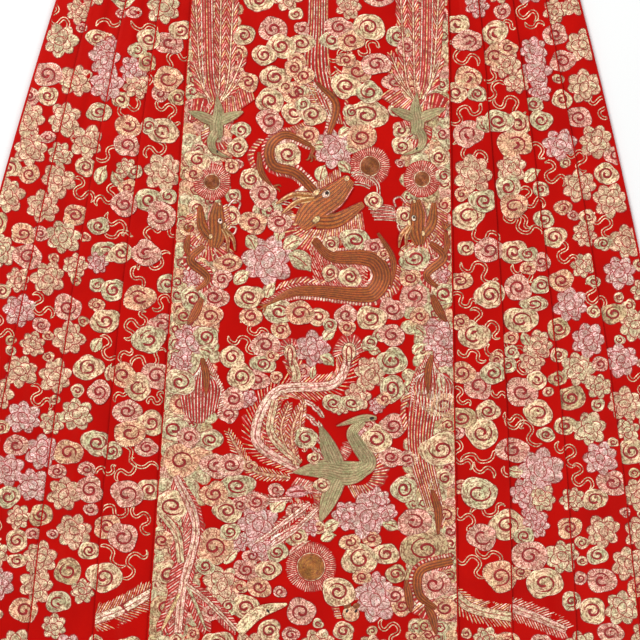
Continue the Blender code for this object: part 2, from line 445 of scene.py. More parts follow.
def cotton_material():
    """Undyed plain-weave cotton with slubs and faint age marks."""
    n = Nodes("cotton")
    place = n.place()
    split = n.add("ShaderNodeSeparateXYZ", {0: place})
    warp = n.math("SINE", n.math("MULTIPLY", split.outputs["X"], 2 * math.pi / COTTON_WEAVE))
    weft = n.math("SINE", n.math("MULTIPLY", split.outputs["Y"], 2 * math.pi / COTTON_WEAVE))
    weave = n.math("MULTIPLY", warp, weft)
    slub = n.remap(n.noise(160.0, 3.0, place), 0.35, 0.7)
    stain = n.remap(n.noise(14.0, 4.0, place), 0.5, 0.75)
    base = n.mix(slub, srgb(224, 214, 194), srgb(238, 232, 216))
    base = n.mix(n.math("MULTIPLY", stain, 0.4), base, srgb(206, 186, 150))
    soft = n.bump(n.noise(60.0, 3.0, place), 0.3, 0.0015)
    n.set(Base_Color=base, Roughness=0.85, Normal=n.bump(weave, 0.35, 0.0003, soft), Specular_IOR_Level=0.2)
    return n.material


THREAD_MAP = "ThreadRows"
TIE_STEP = 2.6
GRAIN_SCALE, STREAK_SCALE, STREAK_ACROSS = 620.0, 260.0, 0.8
CLOUDY_SCALE, FLECK_SCALE = 140.0, 900.0
MOTTLE_TINTS = ((0.46, 0.23, 0.18), (1.48, 1.42, 1.42))
CLOUDY_TINTS = ((0.8, 0.91, 0.76), (1.1, 1.02, 0.98))
# Darkening in the valleys between rows and along every third row: painted shade between the threads, tinted
# red where the ground shows through
VALLEY_TINT = (0.5, 0.12, 0.1)


def thread_material():
    """Couched metal threads in rows along each motif, tied down at staggered points, mottled and flecked,
    with painted shade in the valleys between rows.
    """
    n = Nodes("couched_thread")
    place = n.place()
    colour = n.add("ShaderNodeVertexColor", layer_name="thread")
    rows = n.add("ShaderNodeSeparateXYZ", {0: n.add("ShaderNodeUVMap", uv_map=THREAD_MAP).outputs[0]})
    across, along = rows.outputs["X"], rows.outputs["Y"]
    row = n.math("FRACT", across)
    ridge = n.math("ABSOLUTE", n.math("SUBTRACT", n.math("MULTIPLY", row, 2.0), 1.0))
    ridge = n.math("SUBTRACT", 1.0, n.math("MULTIPLY", ridge, ridge))
    stagger = n.math("MULTIPLY", n.math("FLOOR", across), 0.5)
    tie = n.math("FRACT", n.math("ADD", n.math("DIVIDE", along, TIE_STEP), stagger))
    tied = n.remap(n.math("ABSOLUTE", n.math("SUBTRACT", tie, 0.5)), 0.06, 0.14)
    third = n.math("FRACT", n.math("DIVIDE", n.math("ADD", across, 1.0), 3.0))
    seam = n.remap(n.math("ABSOLUTE", n.math("SUBTRACT", third, 0.5)), 0.36, 0.5)
    spot = n.add("ShaderNodeSeparateXYZ", {0: place})
    streak = n.add("ShaderNodeCombineXYZ", {0: n.math("MULTIPLY", across, STREAK_ACROSS),
                                            1: n.math("MULTIPLY", spot.outputs["X"], STREAK_SCALE),
                                            2: n.math("MULTIPLY", spot.outputs["Y"], STREAK_SCALE)})
    grain = n.math("ADD", n.noise(GRAIN_SCALE, 2.0, place, 0.6), n.noise(1.0, 1.0, streak.outputs[0]))
    calm = n.remap(colour.outputs["Alpha"], 0.0, 0.1, 0.5, 0.18)
    mottle = n.math("MULTIPLY_ADD", n.math("SUBTRACT", grain, 1.0), n.math("DIVIDE", 0.5, calm), 0.5, True)
    cloudy = n.remap(n.noise(CLOUDY_SCALE, 2.0, place), 0.36, 0.64)
    flecks = n.remap(n.noise(FLECK_SCALE, 1.0, place), 0.5, 0.62)
    base = n.mix(1.0, colour.outputs["Color"], n.mix(mottle, *MOTTLE_TINTS), "MULTIPLY")
    base = n.mix(1.0, base, n.mix(cloudy, *CLOUDY_TINTS), "MULTIPLY")
    gap = n.math("MULTIPLY_ADD", colour.outputs["Alpha"], 0.55, 0.25)
    valley = n.math("MULTIPLY", n.math("SUBTRACT", 1.0, ridge), gap)
    valley = n.math("MAXIMUM", valley, n.math("MULTIPLY", seam, 0.5))
    base = n.mix(valley, base, n.mix(1.0, base, VALLEY_TINT, "MULTIPLY"))
    base = n.mix(n.math("MULTIPLY", n.math("SUBTRACT", 1.0, tied), 0.25), base, srgb(170, 50, 36))
    fleck = n.math("MULTIPLY", flecks, n.math("MULTIPLY", colour.outputs["Alpha"], 0.7))
    base = n.mix(fleck, base, srgb(176, 24, 32))
    height = n.math("MULTIPLY", ridge, tied)
    n.set(Base_Color=base, Roughness=0.4, Metallic=0.2, Normal=n.bump(height, 0.6, 0.0003))
    n.set(Specular_IOR_Level=0.5)
    return n.material


def floor_material():
    """A plain pale table."""
    n = Nodes("pale_table")
    tone = n.noise(6.0, 2.0, n.place())
    base = n.mix(tone, (0.885, 0.89, 0.88), (0.915, 0.915, 0.905))
    n.set(Base_Color=base, Roughness=0.8, Specular_IOR_Level=0.2)
    return n.material


satin = satin_material()
cotton = cotton_material()
thread = thread_material()

# Cloth shells


class Section:
    """A cloth section for many stations at once: columns of x and of middle height, one value a station."""

    def __init__(self, down):
        self.down = down
        self.columns = []

    def to(self, x, z, steps=1, eased=False):
        x, z = x + 0 * self.down, z + 0 * self.down
        if self.columns:
            from_x, from_z = self.columns[-1]
            for step in range(1, steps + 1):
                share = step / steps
                rise = share * share * (3 - 2 * share) if eased else share
                self.columns.append((from_x + (x - from_x) * share, from_z + (z - from_z) * rise))
        else:
            self.columns.append((x, z))

    def turn(self, x, from_z, to_z, bulge, steps=4):
        middle, radius = (from_z + to_z) / 2, (from_z - to_z) / 2
        for step in range(steps + 1):
            a = math.pi * step / steps
            self.columns.append((x + bulge * abs(radius) * math.sin(a) + 0 * self.down,
                                 middle + radius * math.cos(a) + 0 * self.down))

    def arrays(self):
        x, z = zip(*self.columns)
        return np.stack(x, 1), np.stack(z, 1)


def side_section(down):
    """One pleated side, from its seam under the front panel out to the side edge and back underneath."""
    s = Section(down)
    folds = [fold_x(n, down) for n in range(SIDE + 1)]
    under, climb = tuck(down), slope(down)
    low, middle, high = FRONT
    s.to(folds[0] - under, low)
    s.to(folds[0], low, 2)
    s.to(folds[0] + 3 * FOLD_SHADE, low, 3)
    for fold in folds[1:SIDE]:
        s.to(fold - under - TUCK_CLEAR - climb, low, 4)
        s.to(fold - under - TUCK_CLEAR, high, 4, eased=True)
        s.to(fold, high, 4)
        s.turn(fold, high, middle, 1)
        s.to(fold - under, middle, 2)
        s.turn(fold - under, middle, low, -1)
        s.to(fold, low, 2)
        s.to(fold + 3 * FOLD_SHADE, low, 3)
    s.to(folds[SIDE], low, 7)
    s.turn(folds[SIDE], low, BACK[0], 1, 8)
    for fold in reversed(folds[1:SIDE]):
        s.to(fold + TUCK_CLEAR + climb, BACK[0], 6)
        s.to(fold + TUCK_CLEAR, BACK[2], 3, eased=True)
        s.to(fold - under, BACK[2], 2)
        s.turn(fold - under, BACK[2], BACK[1], -1)
        s.to(fold, BACK[1], 2)
        s.turn(fold, BACK[1], BACK[0], 1)
    s.to(folds[0] + TUCK_CLEAR + climb, BACK[0], 6)
    s.to(folds[0] + TUCK_CLEAR, BACK[2], 3, eased=True)
    s.to(folds[0] - under, BACK[2], 2)
    return s.arrays()


def joined_halves(x, z):
    """A half section from the middle outwards, with its mirror image before it."""
    return np.concatenate([-x[:, :0:-1], x], 1), np.concatenate([z[:, :0:-1], z], 1)


def front_panel_section(down):
    """The front panel, which climbs onto the sides' inner edges and is folded under there."""
    s = Section(down)
    edge, under = fold_x(0, down), tuck(down)
    low, middle, high = FRONT
    climb_top = edge - under - TUCK_CLEAR
    s.to(0.0, low)
    s.to(climb_top - PANEL_SLOPE, low, 18)
    s.to(climb_top, high, 7, eased=True)
    s.to(edge, high, 4)
    s.turn(edge, high, middle, 1)
    s.to(edge - under, middle, 2)
    return joined_halves(*s.arrays())


def back_panel_section(down):
    """The back panel, flat, with its edges folded in."""
    s = Section(down)
    edge, under = fold_x(0, down), tuck(down)
    s.to(0.0, BACK[0])
    s.to(edge, BACK[0], 26)
    s.turn(edge, BACK[0], BACK[1], 1)
    s.to(edge - under, BACK[1], 2)
    return joined_halves(*s.arrays())


# The unrolled cloth's outer face fills the left half of its map and the inner face the right half
HALF_MARGIN, HALF_WIDTH, HALF_LENGTH, HALF_SHIFT = 0.005, 0.485, 0.99, 0.505


def wall(name, x, y, z, thickness, material, shade=None):
    """A closed wall about the grid's middle surface, with a map of the cloth unrolled."""
    along_x, along_z = np.gradient(x, axis=1), np.gradient(z, axis=1)
    length = np.hypot(along_x, along_z)
    nx, nz = -along_z / length, along_x / length
    half = thickness / 2
    outer = np.stack([x + nx * half, y, z + nz * half], -1)
    inner = np.stack([x - nx * half, y, z - nz * half], -1)
    rows, columns = x.shape
    points = np.concatenate([outer.reshape(-1, 3), inner.reshape(-1, 3)]) * MM
    index = np.arange(rows * columns).reshape(rows, columns)
    a, b, c, d = index[:-1, :-1], index[:-1, 1:], index[1:, 1:], index[1:, :-1]
    top = np.stack([a, d, c, b], -1).reshape(-1, 4)
    under = np.stack([a, b, c, d], -1).reshape(-1, 4) + rows * columns
    ring = np.concatenate([index[0, :], index[1:, -1], index[-1, -2::-1], index[-2:0:-1, 0]])
    after = np.roll(ring, -1)
    rim = np.stack([ring, after, after + rows * columns, ring + rows * columns], -1)
    obj = mesh_object(name, points, np.concatenate([top, under, rim]), [], material)
    across = np.concatenate([[0], np.cumsum(np.hypot(np.diff(x, axis=1), np.diff(z, axis=1)).mean(0))])
    across = across / across[-1]
    grid_u, grid_v = np.meshgrid(across, np.linspace(0, 1, rows))
    upper = np.stack([HALF_MARGIN + HALF_WIDTH * grid_u, HALF_MARGIN + HALF_LENGTH * grid_v], -1)
    upper = upper.reshape(-1, 2)
    add_map(obj.data, "OFBake", np.concatenate([upper, upper + (HALF_SHIFT, 0.0)]))
    if shade is not None:
        layer = obj.data.attributes.new("shade", "FLOAT", "POINT")
        layer.data.foreach_set("value", np.tile(shade.ravel(), 2).astype(np.float32))
    return obj


def cut_area(x, down):
    """Flat width at the hem, in metres, and flat area: the widths in plan of all the layers added up."""
    width = np.abs(np.diff(x, axis=1)).sum(1) * MM
    return float(width.max()), float(np.trapz(width, down) * MM)


STATION_STEP = 10.0
stations = np.linspace(0, SKIRT_LENGTH, int(SKIRT_LENGTH / STATION_STEP) + 1)


def satin_piece(node, section, mirror=1):
    """The shell in place of one satin solid, and its cut."""
    x, z = section(stations)
    down = stations[:, None] + 0 * x
    in_front = smoothstep(BACK[2] + 0.1, FRONT[0] - 0.1, z)
    number = np.zeros_like(x)
    for fold in range(SIDE):
        number = np.where(x > fold_x(fold, down) - FOLD_NEAR, fold + 1, number)
    # Painted shadow beside the folds, on the front's lowest layer
    shade = fold_shade(number, x, down) * (np.abs(z - FRONT[0]) < 0.3)
    z = z + lift(down) + cloth_swell(mirror * x, down, in_front)
    obj = wall(f"{node}_cloth", mirror * x, y_of(x, down), z, SHELL, satin, shade)
    if mirror < 0:
        obj.data.flip_normals()
    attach(obj, "root")
    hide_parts(node)
    return obj, cut_area(x, stations)


front_cloth, front_cut = satin_piece("front_panel", front_panel_section)
back_cloth, back_cut = satin_piece("back_panel", back_panel_section)
right_cloth, side_cut = satin_piece("pleats_right", side_section)
left_cloth, _ = satin_piece("pleats_left", side_section, -1)


def band_level(above):
    """Height of the waistband's front layer at a distance above the waist."""
    places, levels = zip(*BAND_DRAPE)
    return np.interp(above, places, levels)


# The waistband's gathers along its seam, its broad waves, and how far both may go
PUCKER, PUCKER_LENGTH, PUCKER_REACH, BAND_WAVE = 0.14, 5.5, 90.0, 0.1
PUCKER_LOW, PUCKER_HIGH = -0.12, 0.2


def band_piece():
    """The shell in place of the waistband, wound once round, and its length."""
    above = np.concatenate([np.linspace(-BAND_LAP, 0, 3), np.linspace(4, BAND_HEIGHT, 22)])
    level, behind = band_level(above), BAND / 2
    turn = (level - behind) / 2
    s = Section(above)
    s.to(INNER_END_X, level)
    s.to(OUTER_END_X, level, 20)
    s.to(BAND_HALF_WIDTH - turn, level, 10)
    for bulge, first, last in ((1, 0.0, math.pi), (-1, math.pi, 0.0)):
        side_x = bulge * (BAND_HALF_WIDTH - turn)
        if bulge < 0:
            s.to(side_x, behind, 40)
        for step in range(1, 9):
            a = first + (last - first) * step / 8
            s.columns.append((side_x + bulge * turn * math.sin(a), (level + behind) / 2 + turn * math.cos(a)))
    s.to(CLIMB_START_X, level, 8)
    s.to(CLIMB_END_X, level + BAND_LAYER, 4, eased=True)
    s.to(OUTER_END_X, level + BAND_LAYER, 20)
    x, z = s.arrays()
    y = WAIST_Y + above[:, None] + 0 * x
    in_front = smoothstep(1.2, 2.4, z)
    pucker = PUCKER * np.sin(x / PUCKER_LENGTH) * np.exp(-((y - WAIST_Y) ** 2) / PUCKER_REACH)
    pucker = np.clip(pucker + BAND_WAVE * np.sin(x / 17.0 + y / 9.0), PUCKER_LOW, PUCKER_HIGH)
    obj = wall("waistband_cloth", x, y, z + in_front * pucker, BAND - 0.1, cotton)
    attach(obj, "root")
    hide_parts("waistband")
    return obj, float(np.abs(np.diff(x, axis=1)).sum(1).max() * MM)


band_cloth, band_cut = band_piece()

# The frogs: doubled satin cord, a knot of wound cord and the loop about it, placed like their solids

CORD = 2.4
KNOT = 9.0
KNOT_X = 134.4
FROG_REACH = 40.0
FROG_HEIGHTS = (32.0, 82.0)
CORD_SINK = 0.25
CORD_SIDES = 12
STRANDS, STRAND_RIDGE, STRAND_PITCH = 3, 0.12, 5.0
BALL_RINGS, BALL_SIDES = 7, 14
NECK, NECK_STEPS = 1.05, 8


def frog_material():
    """Crimson satin cord, with finer threads along its twist."""
    n = Nodes("frog_satin")
    place = n.place()
    threads = n.noise(2600.0, 2.0, place)
    base = n.mix(n.remap(threads, 0.3, 0.7), srgb(150, 12, 14), srgb(196, 24, 22))
    n.set(Base_Color=base, Roughness=0.42, Normal=n.bump(threads, 0.3, 0.0003), Sheen_Weight=0.2)
    return n.material


def tube(path, up, radius, closed=False):
    """Points, faces and a flat map of a cord of wound strands along the path."""
    path, up = np.asarray(path, float), np.broadcast_to(up, np.shape(path))
    count = len(path)
    step = np.roll(path, -1, 0) - np.roll(path, 1, 0) if closed else np.gradient(path, axis=0)
    along = step / np.linalg.norm(step, axis=1, keepdims=True)
    side = np.cross(along, up)
    side /= np.linalg.norm(side, axis=1, keepdims=True)
    rise = np.cross(side, along)
    length = np.concatenate([[0], np.cumsum(np.linalg.norm(np.diff(path, axis=0), axis=1))])
    around = np.arange(CORD_SIDES) * 2 * math.pi / CORD_SIDES
    wound = STRANDS * around + 2 * math.pi * length[:, None] / STRAND_PITCH
    r = (radius * (1 - STRAND_RIDGE * (0.5 - 0.5 * np.cos(wound))))[..., None]
    ring = np.cos(around)[:, None] * side[:, None] + np.sin(around)[:, None] * rise[:, None]
    points = path[:, None] + r * ring
    index = np.arange(count * CORD_SIDES).reshape(count, CORD_SIDES)
    after = np.roll(index, -1, 1)
    last = count if closed else count - 1
    following, following_after = np.roll(index, -1, 0), np.roll(after, -1, 0)
    quads = np.stack([index, following, following_after, after], -1)[:last].reshape(-1, 4)
    shares = np.tile(np.arange(CORD_SIDES) / CORD_SIDES, count)
    flat = np.stack([np.repeat(length / length[-1], CORD_SIDES), shares], -1)
    tris = []
    if not closed:
        ends = np.arange(2) + count * CORD_SIDES
        tris = np.concatenate([np.stack([after[0], np.full(CORD_SIDES, ends[0]), index[0]], -1),
                               np.stack([index[-1], np.full(CORD_SIDES, ends[1]), after[-1]], -1)])
        points = np.concatenate([points.reshape(-1, 3), path[[0, -1]]])
        flat = np.concatenate([flat, [[0, 0.5], [1, 0.5]]])
    return points.reshape(-1, 3), quads, tris, flat


def hairpin(start_x, turn_x, turn_radius, y, gap_half):
    """A cord doubled on itself: in along one side, round a circle at turn_x and out along the other."""
    toward = 1 if turn_x > start_x else -1
    opening = math.asin(gap_half / turn_radius)
    neck_x = turn_x - toward * turn_radius * math.cos(opening)
    first = [(start_x + (neck_x - start_x) * share, y + gap_half) for share in np.linspace(0, 0.94, 10)]
    angles = math.pi - opening - (2 * math.pi - 2 * opening) * np.linspace(0, 1, 25)
    ring = [(turn_x + toward * turn_radius * math.cos(a), y + turn_radius * math.sin(a)) for a in angles]
    return curve(first + ring + [(x, 2 * y - side_y) for x, side_y in reversed(first)], 2)


def band_top(x, y):
    """The top of the waistband's front, one layer thick or two."""
    layers = smoothstep(CLIMB_START_X, CLIMB_END_X, x) * (x < OUTER_END_X)
    return band_level(y - WAIST_Y) + BAND / 2 + layers * BAND_LAYER


def frog_piece(node, points, quads, tris, flat):
    """The mesh in place of one of a frog's solids."""
    obj = mesh_object(f"{node}_cord", points * MM, quads, tris, frog_satin)
    flat_map(obj.data, flat)
    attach(obj, "root")
    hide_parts(node)


def knot_path(middle):
    """A cord that winds three times round a ball, passing over and under itself."""
    t = np.linspace(0, 2 * math.pi, 161)[:-1]
    around, tilt = 3 * t, math.radians(62) * np.sin(4 * t)
    reach = KNOT / 2 - CORD * 0.62 + 0.35 * np.sin(8 * t + math.pi / 2) * np.cos(tilt)
    outward = np.stack([np.cos(tilt) * np.cos(around), np.sin(tilt), np.cos(tilt) * np.sin(around)], -1)
    return middle + reach[:, None] * outward, outward


def ball(middle, radius):
    """A plain ball of rings, open at its poles, for the inside of a knot."""
    tilts, turns = np.linspace(-1.2, 1.2, BALL_RINGS), np.arange(BALL_SIDES) * 2 * math.pi / BALL_SIDES
    points = [[math.cos(a) * math.cos(b), math.cos(a) * math.sin(b), math.sin(a)]
              for a in tilts for b in turns]
    points = middle + radius * np.array(points)
    index = np.arange(BALL_RINGS * BALL_SIDES).reshape(BALL_RINGS, BALL_SIDES)
    after = np.roll(index, -1, 1)
    quads = np.stack([index[:-1], after[:-1], after[1:], index[1:]], -1).reshape(-1, 4)
    return points, quads


def frog(number, above):
    """One straight frog: a loop on the lapped end, a knot in it and a doubled tail on the band below."""
    y = WAIST_Y + above
    pair_half = (CORD + SEAM_GAP) / 2
    ring_radius = KNOT / 2 + SEAM_GAP + CORD / 2
    tail_x = KNOT_X + ring_radius + CORD + SEAM_GAP + pair_half
    paths = {
        "loop": (hairpin(KNOT_X - ring_radius - FROG_REACH, KNOT_X, ring_radius, y, pair_half), 1),
        "tail": (hairpin(tail_x + FROG_REACH, tail_x, pair_half * 1.01, y, pair_half), 0),
    }
    for part, (path, layers) in paths.items():
        level = band_level(path[:, 1] - WAIST_Y) + BAND / 2 + layers * BAND_LAYER
        route = np.column_stack([path, level + SEAM_GAP + CORD / 2 - CORD_SINK])
        frog_piece(f"frog_{number}_{part}", *tube(route, (0.0, 0.0, 1.0), CORD / 2))
    middle = np.array([KNOT_X, y, band_level(above) + BAND / 2 + SEAM_GAP + KNOT / 2])
    points, quads, _, flat = tube(*knot_path(middle), CORD * 0.58, closed=True)
    inner, inner_quads = ball(middle, KNOT / 2 - CORD * 0.6)
    inner_flat = np.column_stack([np.linspace(0, 1, len(inner)), np.full(len(inner), 0.7)])
    groups = [(points, quads, flat * (1, 0.6)), (inner, inner_quads, inner_flat)]
    neck_z = band_level(above) + BAND / 2 + NECK
    for way in (-1, 1):
        along = np.linspace(KNOT_X + 1.5, tail_x, NECK_STEPS)
        neck = np.column_stack([along, np.full(NECK_STEPS, y + way * NECK), np.full(NECK_STEPS, neck_z)])
        points, quads, _, flat = tube(neck, (0.0, 0.0, 1.0), NECK)
        groups.append((points, quads, flat * (1, 0.08) + (0, 0.85 + 0.05 * way)))
    firsts = np.cumsum([0] + [len(points) for points, _, _ in groups])
    frog_piece(f"frog_{number}_knot", np.concatenate([points for points, _, _ in groups]),
               np.concatenate([quads + first for (_, quads, _), first in zip(groups, firsts)]), [],
               np.concatenate([flat for _, _, flat in groups]))


STITCH, STITCH_STEP, STITCH_HALF, STITCH_RISE = 3.0, 5.0, 0.35, 0.3
STITCH_INSET = 2.5
STITCH_MARGIN = 6.0
# Each row of a stitch's form: share of its length, share of its rise, share of its width
STITCH_FORM = ((0.0, -0.3, 0.6), (0.2, 1.0, 1.0), (0.8, 1.0, 1.0), (1.0, -0.3, 0.6))


def band_stitches():
    """Running stitches along the edges of the waistband's front and down its lapped end."""
    reach = BAND_HALF_WIDTH - STITCH_MARGIN
    rows = [(x, above, 1, 0) for above in (STITCH_INSET - BAND_LAP, BAND_HEIGHT - STITCH_INSET)
            for x in np.arange(-reach, reach, STITCH_STEP)]
    rows += [(OUTER_END_X - STITCH_INSET, above, 0, 1)
             for above in np.arange(8 - BAND_LAP, BAND_HEIGHT - STITCH_MARGIN, STITCH_STEP)]
    points, quads = [], []
    for x, above, way_x, way_y in rows:
        corners = []
        for share, rise, width in STITCH_FORM:
            for side in (-1, 1):
                px = x + share * STITCH * way_x + side * width * STITCH_HALF * way_y
                py = WAIST_Y + above + share * STITCH * way_y + side * width * STITCH_HALF * way_x
                corners.append((px, py, band_top(px, py) + STITCH_RISE * rise))
        first = len(points)
        points += corners
        turn = 1 if way_x else -1
        for k in (0, 2, 4):
            quads.append([first + k + corner for corner in (0, 2, 3, 1)[::turn]])
    points = np.array(points, float)
    obj = mesh_object("waistband_stitches", points * MM, quads, [], cotton_thread)
    flat = (points[:, :2] - points[:, :2].min(0)) / (2.2 * BAND_HALF_WIDTH)
    flat_map(obj.data, flat)
    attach(obj, "root")


def thread_only_material():
    """Plain cotton sewing thread."""
    n = Nodes("cotton_thread")
    tone = n.remap(n.noise(900.0, 2.0, n.place()), 0.35, 0.65)
    n.set(Base_Color=n.mix(tone, srgb(206, 194, 168), srgb(232, 224, 204)), Roughness=0.8)
    return n.material


# The embroidery's threads

CLOUD_GROWTH = 1.12
THREADS = {
    "gold": {"fill": (240, 222, 183), "rim": (255, 244, 216), "fleck": 0.12},
    "pink": {"fill": (251, 213, 194), "rim": (255, 240, 232), "fleck": 0.85},
    "petal_pink": {"fill": (255, 226, 224), "rim": (255, 240, 232), "fleck": 0.75},
    "petal_tan": {"fill": (255, 232, 198), "rim": (255, 240, 212), "fleck": 0.5},
    "petal_green": {"fill": (240, 232, 196), "rim": (248, 242, 216), "fleck": 0.3},
    "lilac": {"fill": (246, 196, 200), "rim": (252, 228, 228), "fleck": 0.8},
    "olive": {"fill": (214, 198, 154), "rim": (236, 222, 184), "fleck": 0.14},
    "green": {"fill": (220, 218, 180), "rim": (248, 242, 216), "fleck": 0.12},
    "tan": {"fill": (248, 216, 176), "rim": (255, 240, 212), "fleck": 0.7},
    "brown": {"fill": (150, 84, 40), "rim": (204, 158, 84), "fleck": 0.0},
    "hide": {"fill": (168, 106, 38), "rim": (196, 146, 78), "fleck": 0.05},
    "disc": {"fill": (140, 80, 22), "rim": (176, 128, 70), "fleck": 0.05},
    "bright_disc": {"fill": (170, 114, 44), "rim": (206, 156, 90), "fleck": 0.05},
    "wine": {"fill": (172, 12, 18), "rim": (172, 12, 18), "fleck": 0.0},
    "umber": {"fill": (106, 52, 14), "rim": (150, 100, 52), "fleck": 0.0},
    "orange": {"fill": (192, 106, 32), "rim": (220, 170, 90), "fleck": 0.0},
    "moss": {"fill": (144, 148, 106), "rim": (214, 212, 172), "fleck": 0.0},
    "pale_moss": {"fill": (194, 186, 144), "rim": (214, 208, 170), "fleck": 0.0},
    "cord": {"fill": (252, 226, 192), "rim": (250, 230, 200), "fleck": 0.2},
    "white": {"fill": (255, 238, 222), "rim": (255, 242, 230), "fleck": 0.12},
    "rose": {"fill": (240, 158, 150), "rim": (240, 180, 176), "fleck": 0.3},
    "straw": {"fill": (244, 218, 164), "rim": (250, 232, 190), "fleck": 0.12},
    # The red ground in painted shadow beside raised work, and in painted shade in its narrow lines
    "shaded_ground": {"fill": (172, 16, 8), "rim": (172, 16, 8), "fleck": 0.0},
    "ground": {"fill": (190, 12, 8), "rim": (190, 12, 8), "fleck": 0.0},
    # The red ground in a cloud's spiral, darkened as painted shade in its groove
    "shaded_groove": {"fill": (158, 10, 8), "rim": (158, 10, 8), "fleck": 0.0},
    "ink": {"fill": (24, 18, 16), "rim": (24, 18, 16), "fleck": 0.0},
}
ROW = 1.5
CUT_INNER, CUT_OUTER = 0.5, 0.55
CONTOUR, BORDER = 0.75, 0.9
# Threads that don't glint
DULL = ("shaded_ground", "shaded_groove")
# The rim of a patch: its height where it goes down to the cloth, or its share of the padding where it doesn't
RIM, LOOSE_RIM = -0.05, -0.2
STITCH_PITCH, STITCH_WIDTH = 1.25, 1.35
# Strength and way of the painted glint on metal thread, by the way it runs
GLINT, GLINT_WAY = 0.15, math.radians(40)
# How far the embroidery keeps from the hem and from the waistband, and its share of the folds' painted shadow
HEM_MARGIN, WAIST_MARGIN, SHADED = 0.8, 1.0, 0.6


def thread_colour(kind, part="fill", tone=1.0):
    """A thread's colour, with how much it is flecked in place of its alpha."""
    look = THREADS[kind]
    return np.array([*(c * tone for c in srgb(*look[part])), look["fleck"]])


def glinting(colours, way):
    """A painted glint: the colours lighter where the thread runs one way and darker across it, as light falls
    on metal thread.
    """
    colours = np.array(colours, float)
    colours[..., :3] *= (1 + GLINT * np.cos(2 * (np.asarray(way) - GLINT_WAY)))[..., None]
    return colours


class Needle:
    """Gathers the motifs of one side as arrays: plan x and y, height on the cloth, colour and thread rows."""

    def __init__(self, fine=True):
        self.points, self.colours, self.rows = [], [], []
        self.quads, self.tris, self.regions = [], [], []
        self.firsts = []
        self.count = 0
        self.region = 0
        self.fine = fine
        self.raised = 0.0

    def add(self, points, colours, rows, quads=(), tris=()):
        points = np.asarray(points, float).reshape(-1, 3) + (0.0, 0.0, self.raised)
        number = len(points)
        colours = np.broadcast_to(np.asarray(colours, float), (number, 4))
        self.points.append(points)
        self.colours.append(colours)
        self.rows.append(np.asarray(rows, float).reshape(-1, 2))
        self.quads.append(np.asarray(quads, int).reshape(-1, 4) + self.count)
        self.tris.append(np.asarray(tris, int).reshape(-1, 3) + self.count)
        self.regions.append(np.full(number, self.region))
        self.firsts.append(self.count)
        self.count += number

    def repeat(self, start, region):
        """The motifs gathered from start on, worked once more on another face."""
        self.region = region
        for k in range(start, len(self.points)):
            first = self.firsts[k]
            self.add(self.points[k] - (0.0, 0.0, self.raised), self.colours[k], self.rows[k],
                     self.quads[k] - first, self.tris[k] - first)

    def piece(self, name, surface, sign=1, relief=1.0):
        """One mesh of all the motifs, each cut at its face's folds and laid on the cloth."""
        points, colours = np.concatenate(self.points), np.concatenate(self.colours)
        rows, regions = np.concatenate(self.rows), np.concatenate(self.regions)
        quads, tris = np.concatenate(self.quads), np.concatenate(self.tris)
        x, y, height = points.T
        x, y = x.copy(), y.copy()
        cut = np.zeros(len(x), int)
        z = np.zeros(len(x))
        for region in np.unique(regions):
            here = regions == region
            for _ in range(2):
                low, high = region_bounds(region, down_of(x[here], y[here]))
                held = np.clip(x[here], low + CUT_INNER, high - CUT_OUTER)
                cut[here] += np.sign(np.round(x[here] - held, 6)).astype(int)
                x[here] = held
            z[here] = surface(region, x[here], y[here])
        y_low = WAIST_Y - SKIRT_LENGTH * (1 - rise_share(x)) + HEM_MARGIN
        y_high = WAIST_Y - BAND_LAP - WAIST_MARGIN
        beyond = (y > y_high).astype(int) - (y < y_low)
        y = np.clip(y, y_low, y_high)
        side = np.sign(cut) + 5 * beyond
        quads = quads[~((side[quads] == side[quads[:, :1]]) & (side[quads] != 0)).all(1)]
        tris = tris[~((side[tris] == side[tris[:, :1]]) & (side[tris] != 0)).all(1)]
        quads, tris = facing(x, y, quads, sign), facing(x, y, tris, sign)
        # Painted shadow of the folds that lie over the embroidery
        colours[:, :3] *= 1 - SHADED * fold_shade(regions, x, down_of(x, y))[:, None]
        used = np.zeros(len(x), bool)
        used[quads] = True
        used[tris] = True
        number = np.cumsum(used) - 1
        quads, tris = number[quads], number[tris]
        place = np.stack([x, y, z + sign * relief * height], -1)[used] * MM
        obj = mesh_object(name, place, quads, tris, thread)
        mesh = obj.data
        layer = mesh.color_attributes.new("thread", "FLOAT_COLOR", "POINT")
        layer.data.foreach_set("color", np.clip(colours[used], 0, 1).astype(np.float32).ravel())
        low, high = place.min(0), place.max(0)
        spread = (high - low).max()
        add_map(mesh, "OFBake", MAP_MARGIN + (1 - 2 * MAP_MARGIN) * (place[:, :2] - low[:2]) / spread)
        add_map(mesh, THREAD_MAP, rows[used])
        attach(obj, "root")
        return obj


def facing(x, y, faces, sign):
    """The faces without those that have no area in plan, all turned to face up, or down for a sign of -1."""
    a, b = faces, np.roll(faces, -1, axis=1)
    area = (x[a] * y[b] - x[b] * y[a]).sum(1) / 2
    kept, area = faces[np.abs(area) > 1e-4], area[np.abs(area) > 1e-4]
    back = area * sign < 0
    kept[back] = kept[back][:, ::-1]
    return kept


